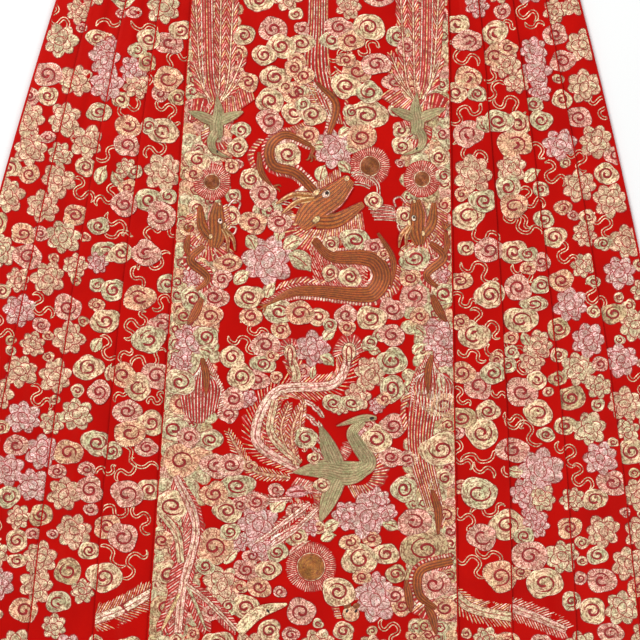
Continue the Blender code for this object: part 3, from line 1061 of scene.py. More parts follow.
def blob(n, cx, cy, outline, kind, tone, base, height, turn=0.0, inner=(), radial=False, pitch=2.1,
         border=BORDER, contour=CONTOUR, edge_kind="shaded_ground", heart=1.0, grounded=True):
    """A padded patch with a pale border and a dark contour, whose outline is a radius at each angle; the
    contour's default thread is the red ground in painted shadow round the patch's raised edge.
    """
    count = len(outline)
    angles = turn + np.arange(count) * 2 * math.pi / count
    fill, rim = thread_colour(kind, "fill", tone), thread_colour(kind, "rim", tone)
    edge = thread_colour(edge_kind)
    rings = [(outline * share, 1.0 - 0.12 * share**3, fill) for share in inner]
    rings.append((outline - contour - border, 0.9, fill))
    if n.fine and border:
        rings.append((outline - contour - border * 0.35, 0.86, rim))
    if n.fine:
        rings.append((outline - contour * 0.75, 0.6, edge))
    rings.append((outline, (RIM - n.raised - base) / height if grounded else LOOSE_RIM, edge))
    spokes = np.round(2 * math.pi * outline.mean() / pitch) * np.arange(count) / count
    points, colours, rows = [], [], []
    for r, level, colour in rings:
        r = np.maximum(r, 0.2)
        level = base + height * level + 0 * r
        points.append(np.stack([cx + r * np.cos(angles), cy + r * np.sin(angles), level], -1))
        colours.append(glinting(np.broadcast_to(colour, (count, 4)), angles + (0 if radial else math.pi / 2)))
        rows.append(np.stack([spokes, r] if radial else [r / ROW, r * (angles - turn)], -1))
    points.append([[cx, cy, base + height]])
    colours.append(fill[None] * (heart, heart, heart, 1.0))
    rows.append([[0.0, 0.0]])
    index = np.arange(count)
    after = (index + 1) % count
    quads = []
    for ring in range(len(rings) - 1):
        near, far = ring * count, (ring + 1) * count
        quads.append(np.stack([near + index, far + index, far + after, near + after], -1))
    tris = np.stack([np.full(count, len(rings) * count), index, after], -1)
    n.add(np.concatenate(points), np.concatenate(colours), np.concatenate(rows), np.concatenate(quads), tris)


def curve(points, steps):
    """A smooth path through the points, with steps on each stretch."""
    points = np.asarray(points, float)
    before = np.concatenate([[2 * points[0] - points[1]], points, [2 * points[-1] - points[-2]]])
    path = []
    for a, b, c, d in zip(before, before[1:], before[2:], before[3:]):
        t = (np.arange(steps) / steps)[:, None]
        straight, squared, cubed = c - a, 2 * a - 5 * b + 4 * c - d, 3 * b - a - 3 * c + d
        path.append(0.5 * (2 * b + straight * t + squared * t**2 + cubed * t**3))
    return np.concatenate([*path, points[-1:]])


def normals(path):
    """The way along a path and the way to its left, at each of its points."""
    along = np.gradient(path, axis=0)
    along /= np.maximum(np.hypot(*along.T), 1e-9)[:, None]
    return along, np.stack([-along[:, 1], along[:, 0]], -1)


def strip(n, path, half, kinds, base=0.0, height=0.5, shading=None, profile=None):
    """A swept strip; kinds names the thread of each column across it, and shading, where given, scales each
    column's colour as painted light and shade.
    """
    path = np.asarray(path, float)
    along, side = normals(path)
    columns = len(kinds)
    offsets = np.linspace(-1, 1, columns)
    profile = np.array(profile) if profile is not None else 0.05 + 0.95 * (1 - np.abs(offsets) ** 3)
    half = np.broadcast_to(half, (len(path),))
    x = path[:, :1] + side[:, :1] * half[:, None] * offsets
    y = path[:, 1:] + side[:, 1:] * half[:, None] * offsets
    z = np.broadcast_to(base + height * profile, x.shape)
    shading = np.ones(columns) if shading is None else shading
    colours = np.stack([thread_colour(kind, "fill", tone) for kind, tone in zip(kinds, shading)])
    colours = np.broadcast_to(colours, (len(path), columns, 4))
    if kinds[columns // 2] not in DULL:
        colours = glinting(colours, np.arctan2(along[:, 1], along[:, 0])[:, None])
    length = np.concatenate([[0], np.cumsum(np.hypot(*np.diff(path, axis=0).T))])
    rows = np.stack([half[:, None] * offsets / ROW + 50.5, np.broadcast_to(length[:, None], x.shape)], -1)
    index = np.arange(len(path) * columns).reshape(len(path), columns)
    a, b, c, d = index[:-1, :-1], index[:-1, 1:], index[1:, 1:], index[1:, :-1]
    quads = np.stack([a, b, c, d], -1).reshape(-1, 4)
    n.add(np.stack([x, y, z], -1), colours.reshape(-1, 4), rows, quads)


def cord(n, path, half, kind, base, height=0.45):
    """A single raised thread along a path, with a painted highlight on its crown and painted shade on its
    flanks.
    """
    strip(n, path, half, (kind,) * 3, base, height, (0.5, 1.12, 0.5), (0.0, 1.0, 0.0))


# A stroke: where its foot begins and ends, its far height, and the painted highlight of its ridge and painted
# shade of its foot
STROKE_NEAR, STROKE_FAR, STROKE_FALL = 0.12, 0.85, 0.6
STROKE_RIDGE_HIGHLIGHT, STROKE_FOOT_SHADE = 1.1, (0.82, 0.66, 0.6)


def strokes(n, start, end, half, kinds, base, height):
    """Many straight satin stitches at once, each a little ridge; kinds are taken in turn."""
    start, end = np.asarray(start, float).reshape(-1, 2), np.asarray(end, float).reshape(-1, 2)
    along = end - start
    length = np.maximum(np.hypot(*along.T), 1e-6)
    side = np.stack([-along[:, 1], along[:, 0]], -1) / length[:, None]
    half = np.broadcast_to(half, (len(start),))[:, None]
    near, far = start + along * STROKE_NEAR, start + along * STROKE_FAR
    number = len(start)
    ground, top = np.full((number, 1), base), np.full((number, 1), base + height)
    points = np.stack([
        np.hstack([near + side * half, ground]), np.hstack([near - side * half, ground]),
        np.hstack([far + side * half * 0.85, ground]), np.hstack([far - side * half * 0.85, ground]),
        np.hstack([start, top]), np.hstack([end, top * STROKE_FALL]),
    ], 1)
    pattern = np.stack([thread_colour(kind) for kind in kinds])
    colours = np.repeat(pattern[np.arange(number) % len(kinds)], 6, axis=0).reshape(number, 6, 4).copy()
    # Painted highlight on the ridge, painted shade at the foot
    colours[:, 4:, :3] *= STROKE_RIDGE_HIGHLIGHT
    colours[:, :4, :3] *= STROKE_FOOT_SHADE
    colours = glinting(colours, np.arctan2(along[:, 1], along[:, 0])[:, None])
    rows = np.zeros((number, 6, 2)) + (0.5, 1.3)
    first = np.arange(number)[:, None] * 6
    quads = np.concatenate([first + (0, 4, 5, 2), first + (1, 3, 5, 4)])
    n.add(points.reshape(-1, 3), colours.reshape(-1, 4), rows.reshape(-1, 2), quads)


# The motifs: u, v and sizes are in picture units, angles in degrees


def uv_path(points):
    """Places on the picture as a path on the skirt."""
    u, v = np.asarray(points, float).T
    return np.stack(plan(u, v), -1)


CLOUD_HEIGHT = 0.4
RADIAL = ("pink", "lilac", "tan")
# Shares along a cloud's spiral, and its share of the full width at each
CURL_TAPER = ((0, 0.08, 0.4, 0.85, 1), (0.6, 1.15, 0.95, 0.7, 0.3))


def cloud(n, u, v, r, kind, turn, wise, long, base, spiral=True):
    """A curled cloud: a lobed padded patch with the red ground showing in its spiral, darkened there as
    painted shade.
    """
    cx, cy = plan(u, v)
    tone = rng.uniform(0.9, 1.06)
    turn = math.radians(turn)
    count = (28 if r > 9 else 22) if n.fine else 12
    angles = np.arange(count) * 2 * math.pi / count
    phases = rng.uniform(0, 2 * math.pi, 3)
    lobes = 1 + 0.06 * np.sin(2 * angles + phases[0]) + 0.04 * np.sin(3 * angles + phases[1])
    lobes += 0.1 * (np.abs(np.sin((2.0 if r > 7 else 1.5) * angles + phases[2])) - 0.64)
    long = long * rng.uniform(1.02, 1.2)
    turns = rng.uniform(1.15, 1.4) if r > 8 else 1.05
    mouth = turn + wise * 2 * math.pi * (turns + 0.04)
    lobes -= 0.11 * np.exp(-((np.mod(angles - mouth + math.pi, 2 * math.pi) - math.pi) ** 2) * 14)
    stretch = 1 / np.hypot(np.cos(angles) / long, np.sin(angles) * long**0.5)
    inner = (0.5,) if n.fine and r > 7.5 else ()
    blob(n, cx, cy, r * lobes * stretch, kind, tone, base, CLOUD_HEIGHT, 0.0, inner, kind in RADIAL, 2.3)
    if not spiral:
        return
    t = np.linspace(0, 1, 22 if n.fine else 9)
    curl = turn + wise * 2 * math.pi * turns * t
    reach = r * (0.08 + 0.5 * t**0.75) / np.hypot(np.cos(curl) / long, np.sin(curl) * long**0.5)
    path = np.stack([cx + reach * np.cos(curl), cy + reach * np.sin(curl)], -1)
    half = np.clip(0.42 + 0.065 * r, 0.65, 1.3) * np.interp(t, *CURL_TAPER)
    strip(n, path, half, ("shaded_groove",) * 2, base + CLOUD_HEIGHT + 0.08, 0.0)


OVERHANG = 0.55


def meander(u0, v0, u1, v1, waves, swing, steps):
    """A wandering path with overhanging bends, between two places on the picture."""
    start, end = np.array(plan(u0, v0)), np.array(plan(u1, v1))
    along = end - start
    length = math.hypot(*along)
    along, side = along / length, np.array([-along[1], along[0]]) / length
    t = np.linspace(0, 1, int(abs(waves) * steps * 2) + 4)
    phase = 2 * math.pi * waves * t
    ends = np.sin(math.pi * np.clip(t * 1.04 - 0.02, 0, 1)) ** 0.35
    sway = swing * np.sin(phase) * ends
    lead = length * t - OVERHANG * abs(swing) * np.sin(2 * phase) * 0.6 * ends
    return start + lead[:, None] * along + sway[:, None] * side


RIBBON_GAP, RIBBON_HALF = 1.4, 0.55


def ribbon(n, u0, v0, u1, v1, waves, swing):
    """A streamer of two parallel cords."""
    path = meander(u0, v0, u1, v1, waves, swing, steps=9 if n.fine else 5)
    _, side = normals(path)
    taper = np.clip(np.minimum(np.arange(len(path)), np.arange(len(path))[::-1]) / 3.0, 0.15, 1)[:, None]
    for way in (-1, 1):
        cord(n, path + way * RIBBON_GAP * side * taper, RIBBON_HALF, "cord", 0.0)


PETAL_COLUMNS = ("reach", "size", "count", "lift")
PETAL_RINGS = ((0.68, 0.43, 7, 0.0), (0.38, 0.41, 4, 0.28), (0.06, 0.32, 2, 0.56))
PETAL_CONTOUR, PETAL_HEART, PETAL_HEIGHT, PETAL_LONG = 1.0, 0.9, 0.16, 1.1
PETAL_THREADS = {"pink": "petal_pink", "tan": "petal_tan", "gold": "petal_tan"}


def petal(n, x, y, r, turn, kind, base, tone):
    """A scalloped petal with its rows from the middle outwards."""
    kind = PETAL_THREADS.get(kind, "petal_green")
    count = 13 if n.fine else 8
    a = np.arange(count) * 2 * math.pi / count
    outline = r / np.hypot(np.cos(a) / PETAL_LONG, np.sin(a)) * (1 - 0.1 * np.abs(np.sin(1.5 * a)))
    blob(n, x, y, outline, kind, tone, base, PETAL_HEIGHT, turn, (), True, 1.7, border=0.0,
         contour=min(PETAL_CONTOUR, 0.25 * r), edge_kind="wine", heart=PETAL_HEART, grounded=False)


def peony(n, u, v, r, kind, turn, base):
    """A full flower: rings of scalloped petals, the inner ones on top."""
    cx, cy = plan(u, v)
    turn = math.radians(turn)
    for level, row in enumerate(PETAL_RINGS):
        ring = dict(zip(PETAL_COLUMNS, row))
        for number in range(ring["count"]):
            a = turn + level * 0.5 + (number + rng.uniform(-0.16, 0.16)) * 2 * math.pi / ring["count"]
            reach = r * ring["reach"] * rng.uniform(0.92, 1.06)
            size = r * ring["size"] * rng.uniform(0.9, 1.12)
            lift = base + ring["lift"] + 0.12 * (number % 2)
            petal(n, cx + reach * math.cos(a), cy + reach * math.sin(a), size, a, kind, lift,
                  rng.uniform(0.82, 1.2))


# Across a leaf: painted shade at its low edges and painted highlight on its raised sides, and the heights of
# its columns
LEAF_SHADING, LEAF_PROFILE = (0.7, 1.12, 0.95, 1.12, 0.7), (0.0, 0.85, 1.0, 0.85, 0.0)


def leaf(n, u, v, length, width, angle, kind, base):
    """A pointed leaf on a rim of the red ground in painted shadow, with a red vein of the ground in painted
    shade.
    """
    cx, cy = plan(u, v)
    turn = math.radians(angle)
    way = np.array([math.cos(turn), math.sin(turn)])
    t = np.linspace(-0.5, 0.5, 9)
    bend = np.array([-way[1], way[0]]) * (0.1 * length * (1 - 4 * t**2))[:, None]
    path = np.array([cx, cy]) + (t * length)[:, None] * way + bend
    half = width / 2 * np.clip(1 - np.abs(2 * t + 0.12) ** 2.2, 0.02, 1)
    strip(n, path, half * 1.12, ("shaded_ground",) * 3, base, 0.1, profile=(-1, 1, -1))
    strip(n, path, half, (kind,) * 5, base + 0.1, 0.5, LEAF_SHADING, LEAF_PROFILE)
    strip(n, path[1:7], 0.45, ("shaded_ground",) * 2, base + 0.66, 0.0)


LONG_STITCH = 6.0


def underlay(n, start, end, base):
    """The red ground that shows between stitches, laid over what is under them."""
    number = len(start)
    shares = (0, 0.5, 1) if np.hypot(*(end - start).T).max() > LONG_STITCH else (0, 1)
    places = [start + (end - start) * share for share in shares]
    points = np.concatenate([np.column_stack([place, np.full(number, base)]) for place in places])
    index = np.arange(number - 1)
    row = np.stack([index, index + 1, number + index + 1, number + index], -1)
    quads = np.concatenate([row + number * k for k in range(len(shares) - 1)])
    n.add(points, thread_colour("ground"), np.zeros((len(points), 2)) + (0.5, 1.3), quads)


def fringe(n, path, reach, spacing, lean, side, kinds, half, base, inset=0.0):
    """Stitches that stand out along one side of a path, leaning forwards along it."""
    path = np.asarray(path, float)
    spacing, half = spacing * STITCH_PITCH, half * STITCH_WIDTH
    step = np.hypot(*np.diff(path, axis=0).T)
    length = np.concatenate([[0], np.cumsum(step)])
    number = max(2, int(length[-1] * max(math.cos(math.radians(lean)), 0.4) / spacing))
    at = np.linspace(0, length[-1], number)
    along, across = normals(path)
    place = np.stack([np.interp(at, length, path[:, k]) for k in (0, 1)], -1)
    forward = np.stack([np.interp(at, length, along[:, k]) for k in (0, 1)], -1)
    out = side * np.stack([np.interp(at, length, across[:, k]) for k in (0, 1)], -1)
    lean = math.radians(lean)
    way = forward * math.sin(lean) + out * math.cos(lean)
    reach = np.interp(at, length, np.broadcast_to(reach, (len(path),)))
    inset = np.interp(at, length, np.broadcast_to(inset, (len(path),)))
    reach = reach * rng.uniform(0.85, 1.1, number)
    start = place + out * inset[:, None]
    end = start + way * reach[:, None]
    underlay(n, start, end + way * 0.5, base - 0.04)
    strokes(n, start, end, half, kinds, base + 0.08, 0.4)


BROAD_CORE = 2.2


def feather(n, points, width, core, kinds=("white", "straw"), spine="straw", lean=48.0, spacing=1.7, base=0.0,
            shares=(1.0, 1.0)):
    """A long plume: a spine with slanting barbs on both sides."""
    path = curve(uv_path(points), 8 if n.fine else 4)
    t = np.linspace(0, 1, len(path))
    half = core * np.interp(t, (0, 0.2, 0.85, 1), (0.7, 1, 0.9, 0.45 if core < BROAD_CORE else 0.8))
    reach = (width - core) * np.interp(t, (0, 0.25, 0.8, 1), (0.55, 1.0, 0.95, 0.5))
    for side, share in zip((-1, 1), shares):
        length = share * reach / math.cos(math.radians(lean))
        fringe(n, path, length, spacing, lean, side, kinds, 0.46, base, half * 0.8)
    # The red ground in painted shadow beside the spine
    strip(n, path, half + 0.6, ("shaded_ground",) * 2, base + 0.56, 0.0)
    if core < BROAD_CORE:
        # A painted highlight along the spine's crown and painted shade at its edges
        strip(n, path, half, (spine,) * 3, base + 0.5, 0.4, shading=(0.7, 1.15, 0.7), profile=(0.3, 1, 0.3))
    else:
        rows_strip(n, path, half, ("cord", spine), base + 0.5, 0.4, 1.3)
        # A line of the red ground in painted shade down the broad spine's middle
        strip(n, path, np.full(len(path), 0.3), ("shaded_ground",) * 2, base + 0.98, 0.0)


DISC_POINTS = 30


def spokes_of(number):
    """Ways out from a middle, evenly all round."""
    a = np.arange(number) * 2 * math.pi / number
    return np.stack([np.cos(a), np.sin(a)], -1)


def fireball(n, u, v, disc, ray, kind="disc"):
    """A flaming pearl: a brown-gold disc in a pale ring, with two rings of fine rays."""
    cx, cy = plan(u, v)
    at = np.array([cx, cy])
    short, long = int(ray * 2.1), int(ray * 2.7)
    edge = spokes_of(short)
    edge = np.concatenate([edge, edge[:1]])
    underlay(n, at + edge * disc * 0.9, at + edge * ray * 1.01, 0.25)
    between = ray - disc
    rings = ((short, disc * 1.12, disc + between * 0.46), (long, disc + between * 0.4, ray))
    for number, inner, outer in rings:
        way = spokes_of(number)
        reach = outer * rng.uniform(0.95, 1.04, number)[:, None]
        strokes(n, at + way * inner, at + way * reach, 0.42, ("white", "pink"), 0.34, 0.45)
    blob(n, cx, cy, np.full(DISC_POINTS, disc), kind, 1.0, 0.35, 0.6, inner=(0.25, 0.5, 0.75), border=0.5)
    ring = np.arange(DISC_POINTS + 1) * 2 * math.pi / DISC_POINTS
    cord(n, at + disc * 1.03 * np.stack([np.cos(ring), np.sin(ring)], -1), 0.5, "cord", 0.5, 0.5)


CLOUD_COLUMNS = ("u", "v", "radius", "thread", "long")
CLOUDS = (
    (97, 38, 9, "gold", 1), (181, 30, 10, "gold", 1), (149, 39, 10.5, "gold", 1),
    (169, 43, 11.5, "pink", 1), (147, 62, 9, "olive", 1), (168, 79, 12.5, "tan", 1),
    (160, 94, 8, "pink", 1), (178, 97, 8.5, "olive", 1), (99, 112, 10, "green", 1),
    (128, 126, 11, "tan", 1), (163, 131, 13, "gold", 1), (149, 126, 8, "green", 1),
    (127, 145, 11.5, "pink", 1), (128, 188, 9, "tan", 1), (124, 204, 12, "pink", 1),
    (149, 200, 12, "green", 1), (161, 216, 13.5, "pink", 1), (99, 226, 9, "green", 1),
    (105, 252, 11, "green", 1), (121, 253, 10.5, "gold", 1), (146, 253, 12.5, "pink", 1),
    (97, 285, 7, "green", 1), (113, 290, 11, "green", 1), (167, 284, 9.5, "green", 1),
    (139, 298, 13, "tan", 1), (97, 305, 7, "tan", 1), (105, 321, 12.5, "gold", 1),
    (162, 325, 11.5, "pink", 1), (149, 339, 14, "green", 1), (123, 375, 12, "tan", 1),
    (156, 376, 13, "pink", 1), (138, 387, 12.5, "gold", 1), (99, 392, 11, "pink", 1),
    (127, 411, 11.5, "pink", 1), (151, 423, 12.5, "gold", 1), (130, 433, 13.5, "tan", 1),
    (97, 443, 13, "green", 1), (112, 451, 9, "green", 1), (127, 494, 13.5, "pink", 1),
    (149, 490, 11, "gold", 1), (107, 527, 12, "tan", 1), (123, 537, 13.5, "pink", 1),
    (104, 577, 15, "gold", 1), (457, 24, 10, "gold", 1), (468, 41, 11.5, "pink", 1),
    (495, 33, 12, "gold", 1), (495, 56, 11, "tan", 1), (468, 78, 11.5, "tan", 1), (456, 93, 10, "gold", 1),
    (477, 94, 8.5, "green", 1), (498, 121, 12, "green", 1), (485, 124, 9, "green", 1),
    (518, 124, 12.5, "gold", 1), (541, 120, 10, "green", 1), (468, 134, 13, "pink", 1),
    (515, 144, 14, "tan", 1), (484, 201, 12, "green", 1), (468, 216, 14, "gold", 1),
    (508, 187, 12, "green", 1), (514, 206, 12, "tan", 1), (544, 219, 9, "green", 1),
    (489, 250, 12.5, "pink", 1), (460, 281, 9.5, "tan", 1.25), (490, 295, 13.5, "gold", 1),
    (514, 252, 12, "gold", 1), (528, 254, 8, "green", 1), (541, 262, 9, "pink", 1),
    (518, 288, 12.5, "pink", 1), (541, 285, 9, "green", 1), (534, 304, 9, "green", 1.4),
    (521, 320, 13.5, "gold", 1), (461, 322, 8, "tan", 1), (474, 335, 14, "gold", 1),
    (462, 373, 11.5, "tan", 1), (493, 373, 11, "green", 1), (478, 386, 13, "pink", 1),
    (522, 392, 14, "pink", 1), (462, 418, 11.5, "olive", 1), (488, 411, 10.5, "gold", 1),
    (482, 433, 14.5, "gold", 1), (538, 413, 12.5, "gold", 1), (513, 450, 13, "pink", 1),
    (461, 487, 8, "tan", 1.2), (479, 493, 15.5, "green", 1), (507, 525, 15, "gold", 1),
    (482, 537, 13, "pink", 1), (530, 556, 15, "pink", 1), (500, 576, 15, "tan", 1),
    (544, 583, 15, "gold", 1), (244, 35, 10, "gold", 1), (237, 52, 9, "tan", 1), (237, 74, 8, "pink", 1),
    (248, 82, 9.5, "tan", 1), (231, 96, 9, "green", 1), (241, 130, 8.5, "green", 1),
    (238, 147, 9.5, "gold", 1), (238, 164, 5, "pink", 1), (198, 160, 10.5, "gold", 1),
    (194, 174, 8, "tan", 1), (231, 216, 9.5, "gold", 1), (198, 208, 8, "gold", 1), (190, 228, 9, "tan", 1),
    (218, 257, 12, "green", 1), (228, 263, 10, "tan", 1.2), (222, 279, 9, "pink", 1),
    (214, 297, 11.5, "pink", 1), (193, 299, 12, "green", 1), (210, 316, 11, "tan", 1),
    (184, 316, 9, "olive", 1), (206, 337, 11, "green", 1), (180, 382, 13, "green", 1),
    (182, 404, 11, "tan", 1), (174, 429, 12.5, "green", 1), (189, 437, 10, "pink", 1),
    (210, 440, 10.5, "green", 1.2), (181, 461, 16, "tan", 1), (172, 506, 15.5, "gold", 1),
    (168, 575, 15, "gold", 1), (214, 547, 17, "tan", 1), (162, 540, 10, "tan", 1),
    (166, 608, 13, "olive", 1), (398, 36, 10.5, "green", 1), (407, 47, 9, "pink", 1),
    (408, 70, 9, "green", 1), (395, 82, 9.5, "pink", 1.1), (411, 90, 9, "tan", 1), (401, 130, 8, "gold", 1),
    (402, 146, 9, "gold", 1), (400, 163, 4.5, "pink", 1), (439, 157, 9.5, "gold", 1),
    (444, 176, 8, "green", 1), (405, 216, 9.5, "gold", 1), (444, 205, 8, "tan", 1),
    (415, 258, 13, "green", 1), (410, 278, 9, "tan", 1), (414, 296, 12, "pink", 1),
    (444, 294, 11.5, "green", 1), (420, 316, 8.5, "tan", 1), (443, 379, 13, "green", 1),
    (443, 405, 13, "tan", 1), (441, 449, 17, "gold", 1), (404, 489, 12.5, "green", 0.8),
    (407, 459, 9, "pink", 1.1), (414, 522, 13.5, "pink", 1), (425, 549, 19, "olive", 1.1),
    (434, 584, 14, "pink", 1), (396, 574, 9, "olive", 1), (445, 478, 9, "gold", 1),
    (446, 515, 10, "tan", 1), (445, 608, 11, "tan", 1), (273, 29, 12.5, "pink", 1),
    (281, 46, 12.5, "gold", 1), (264, 55, 10.5, "gold", 1), (301, 43, 10.5, "gold", 1.2),
    (275, 77, 12, "gold", 1), (294, 68, 9, "tan", 1), (295, 93, 12, "tan", 1), (270, 101, 12.5, "gold", 1),
    (270, 121, 12, "pink", 1), (294, 112, 11, "gold", 1), (312, 114, 11.5, "gold", 1),
    (308, 135, 9.5, "tan", 1), (288, 154, 12, "gold", 1), (251, 179, 10.5, "gold", 1),
    (263, 194, 12.5, "pink", 1), (268, 210, 12.5, "green", 1), (253, 223, 11.5, "tan", 1),
    (279, 222, 10.5, "pink", 1), (306, 196, 11, "white", 1.1), (168, 196, 8, "green", 1),
    (462, 194, 7, "tan", 1), (228, 414, 9, "pink", 1), (333, 403, 9, "green", 1),
    (352, 403, 9, "green", 1.2), (372, 539, 8, "tan", 1.2), (297, 60, 8, "tan", 1), (304, 76, 9, "tan", 1),
    (300, 92, 8, "green", 1), (286, 87, 7, "tan", 1), (303, 104, 7, "green", 1), (108, 40, 7, "tan", 1),
    (137, 50, 8, "green", 1), (135, 172, 7, "green", 1), (121, 100, 8, "gold", 1), (234, 112, 7, "tan", 1),
    (232, 166, 7, "tan", 1), (233, 196, 7.5, "green", 1), (302, 28, 7, "pink", 1), (346, 60, 8, "tan", 1),
    (352, 112, 8, "green", 1), (346, 216, 6, "tan", 1), (384, 254, 6, "tan", 1), (396, 110, 7, "green", 1),
    (534, 104, 8, "green", 1), (508, 48, 8, "tan", 1), (528, 268, 7, "tan", 1), (272, 356, 6, "tan", 1),
    (276, 377, 6, "tan", 1), (303, 371, 7, "pink", 1), (250, 466, 6, "tan", 1), (276, 490, 7, "pink", 1),
    (296, 511, 8, "pink", 1), (240, 505, 8, "pink", 1), (230, 532, 9, "green", 1), (252, 556, 8, "pink", 1),
    (205, 566, 9, "green", 1), (240, 587, 7, "tan", 1), (228, 606, 9, "green", 1), (212, 613, 9, "pink", 1),
    (368, 425, 7, "pink", 1), (497, 360, 8, "tan", 1), (512, 352, 7, "green", 1), (455, 432, 8, "pink", 1),
    (521, 572, 8, "tan", 1), (457, 601, 9, "green", 1), (362, 577, 8, "tan", 1), (281, 330, 9, "tan", 1),
    (347, 327, 8, "tan", 1), (330, 325, 7, "green", 1), (402, 606, 10, "tan", 1), (508, 365, 8, "green", 1),
    (537, 380, 9, "gold", 1), (511, 338, 7, "tan", 1), (524, 536, 9, "green", 1), (384, 399, 7, "tan", 1),
    (380, 335, 7, "green", 1), (339, 27, 11, "pink", 1), (369, 27, 13.5, "gold", 1),
    (332, 40, 10, "green", 1), (351, 40, 11.5, "tan", 1), (376, 64, 11.5, "pink", 1),
    (357, 71, 12, "tan", 1), (346, 86, 12.5, "gold", 1), (369, 92, 11, "green", 1),
    (366, 115, 16, "gold", 1.1), (361, 137, 13, "tan", 1.1), (374, 201, 8.5, "gold", 1),
    (350, 277, 10, "gold", 1), (330, 273, 8, "gold", 1), (331, 244, 8, "gold", 1),
    (355, 240, 12, "green", 1.15), (374, 247, 9, "pink", 1), (249, 297, 12, "gold", 1),
    (251, 316, 10, "tan", 1), (279, 312, 12, "green", 1.1), (300, 313, 12, "tan", 1.1),
    (318, 317, 9, "gold", 1), (346, 315, 10, "pink", 1), (371, 318, 12.5, "gold", 1),
    (392, 309, 11, "pink", 1), (392, 335, 11, "pink", 1), (370, 342, 6.5, "green", 1),
    (265, 345, 12, "pink", 1), (232, 357, 11, "gold", 1), (241, 377, 13, "gold", 1),
    (263, 364, 10, "green", 1), (257, 380, 10, "pink", 1), (306, 438, 10.5, "green", 1),
    (392, 361, 13, "green", 1.1), (392, 389, 13, "green", 0.8), (376, 439, 13.5, "gold", 1),
    (393, 426, 12, "pink", 1), (391, 457, 10, "pink", 1), (233, 399, 11, "pink", 1),
    (216, 466, 12.5, "pink", 1), (231, 465, 11.5, "pink", 1), (214, 494, 12, "tan", 1),
    (237, 486, 13, "green", 1.1), (227, 511, 12, "gold", 1), (256, 502, 10, "pink", 1),
    (297, 537, 9.5, "gold", 1), (277, 552, 10, "green", 1), (268, 570, 10.5, "gold", 1),
    (246, 570, 10.5, "pink", 1), (259, 587, 10.5, "tan", 1), (280, 592, 6, "pink", 1),
    (245, 607, 12, "gold", 1), (301, 612, 13, "pink", 1), (350, 542, 8.5, "tan", 1.1),
    (360, 559, 15.5, "gold", 1), (386, 554, 11, "gold", 1), (338, 592, 14.5, "gold", 1.05),
    (395, 596, 10, "pink", 1),
)

RIBBON_COLUMNS = ("u0", "v0", "u1", "v1", "waves", "swing")
RIBBONS = (
    (96, 26, 120, 20, 0.9, 5), (131, 21, 158, 33, 1.0, 5), (160, 68, 190, 50, 1.5, 7),
    (143, 84, 155, 70, 0.9, 5), (158, 100, 180, 124, 1.6, 7), (136, 98, 121, 120, 1.2, 8),
    (147, 158, 166, 136, 1.4, 8), (96, 158, 120, 150, 1.0, 6), (97, 206, 118, 186, 1.5, 7),
    (108, 212, 124, 236, 1.1, 7), (139, 243, 160, 226, 1.3, 6), (171, 226, 176, 246, 1.0, 4),
    (104, 233, 133, 236, 1.1, 4), (138, 270, 170, 254, 1.4, 7), (136, 266, 140, 288, 0.9, 6),
    (152, 308, 176, 296, 1.4, 6), (124, 338, 146, 312, 1.8, 8), (100, 336, 116, 362, 1.2, 7),
    (121, 362, 131, 348, 0.8, 5), (131, 366, 166, 352, 1.4, 8), (115, 402, 126, 388, 0.9, 4),
    (148, 404, 164, 394, 1.4, 5), (114, 446, 158, 470, 1.3, 7), (118, 482, 134, 458, 1.2, 7),
    (96, 474, 116, 466, 1.2, 5), (102, 512, 134, 508, 1.3, 7), (134, 506, 150, 534, 1.5, 7),
    (99, 546, 126, 566, 1.0, 6), (121, 578, 146, 550, 1.3, 8), (447, 44, 478, 66, 1.5, 8),
    (503, 22, 516, 28, 0.8, 3), (525, 22, 544, 26, 0.9, 4), (484, 80, 503, 66, 1.0, 6),
    (484, 98, 506, 82, 1.1, 6), (494, 98, 526, 112, 1.5, 8), (450, 122, 482, 104, 1.6, 7),
    (453, 144, 488, 162, 1.6, 7), (520, 140, 545, 158, 1.2, 8), (520, 190, 543, 208, 1.5, 8),
    (504, 214, 532, 226, 1.3, 6), (506, 216, 542, 234, 1.4, 7), (461, 228, 500, 240, 1.5, 7),
    (461, 262, 498, 280, 1.6, 8), (513, 264, 533, 282, 1.2, 6), (452, 296, 476, 304, 1.3, 6),
    (470, 310, 500, 338, 1.8, 8), (458, 350, 486, 360, 1.4, 5), (489, 344, 500, 362, 1.0, 7),
    (508, 336, 528, 374, 1.5, 8), (492, 390, 505, 398, 0.9, 4), (454, 388, 470, 406, 1.3, 5),
    (505, 412, 524, 428, 1.2, 6), (506, 416, 542, 444, 1.5, 8), (452, 440, 470, 470, 1.4, 7),
    (460, 462, 500, 452, 1.2, 6), (474, 462, 494, 478, 1.0, 6), (504, 466, 518, 480, 1.0, 6),
    (458, 508, 474, 532, 1.3, 7), (470, 514, 505, 506, 1.3, 6), (456, 552, 486, 576, 1.4, 8),
    (476, 548, 508, 566, 1.3, 6), (358, 50, 380, 46, 1.1, 7), (328, 58, 352, 52, 1.1, 5),
    (328, 66, 340, 80, 0.9, 6), (228, 336, 262, 352, 1.7, 6), (240, 322, 268, 336, 1.5, 5),
)

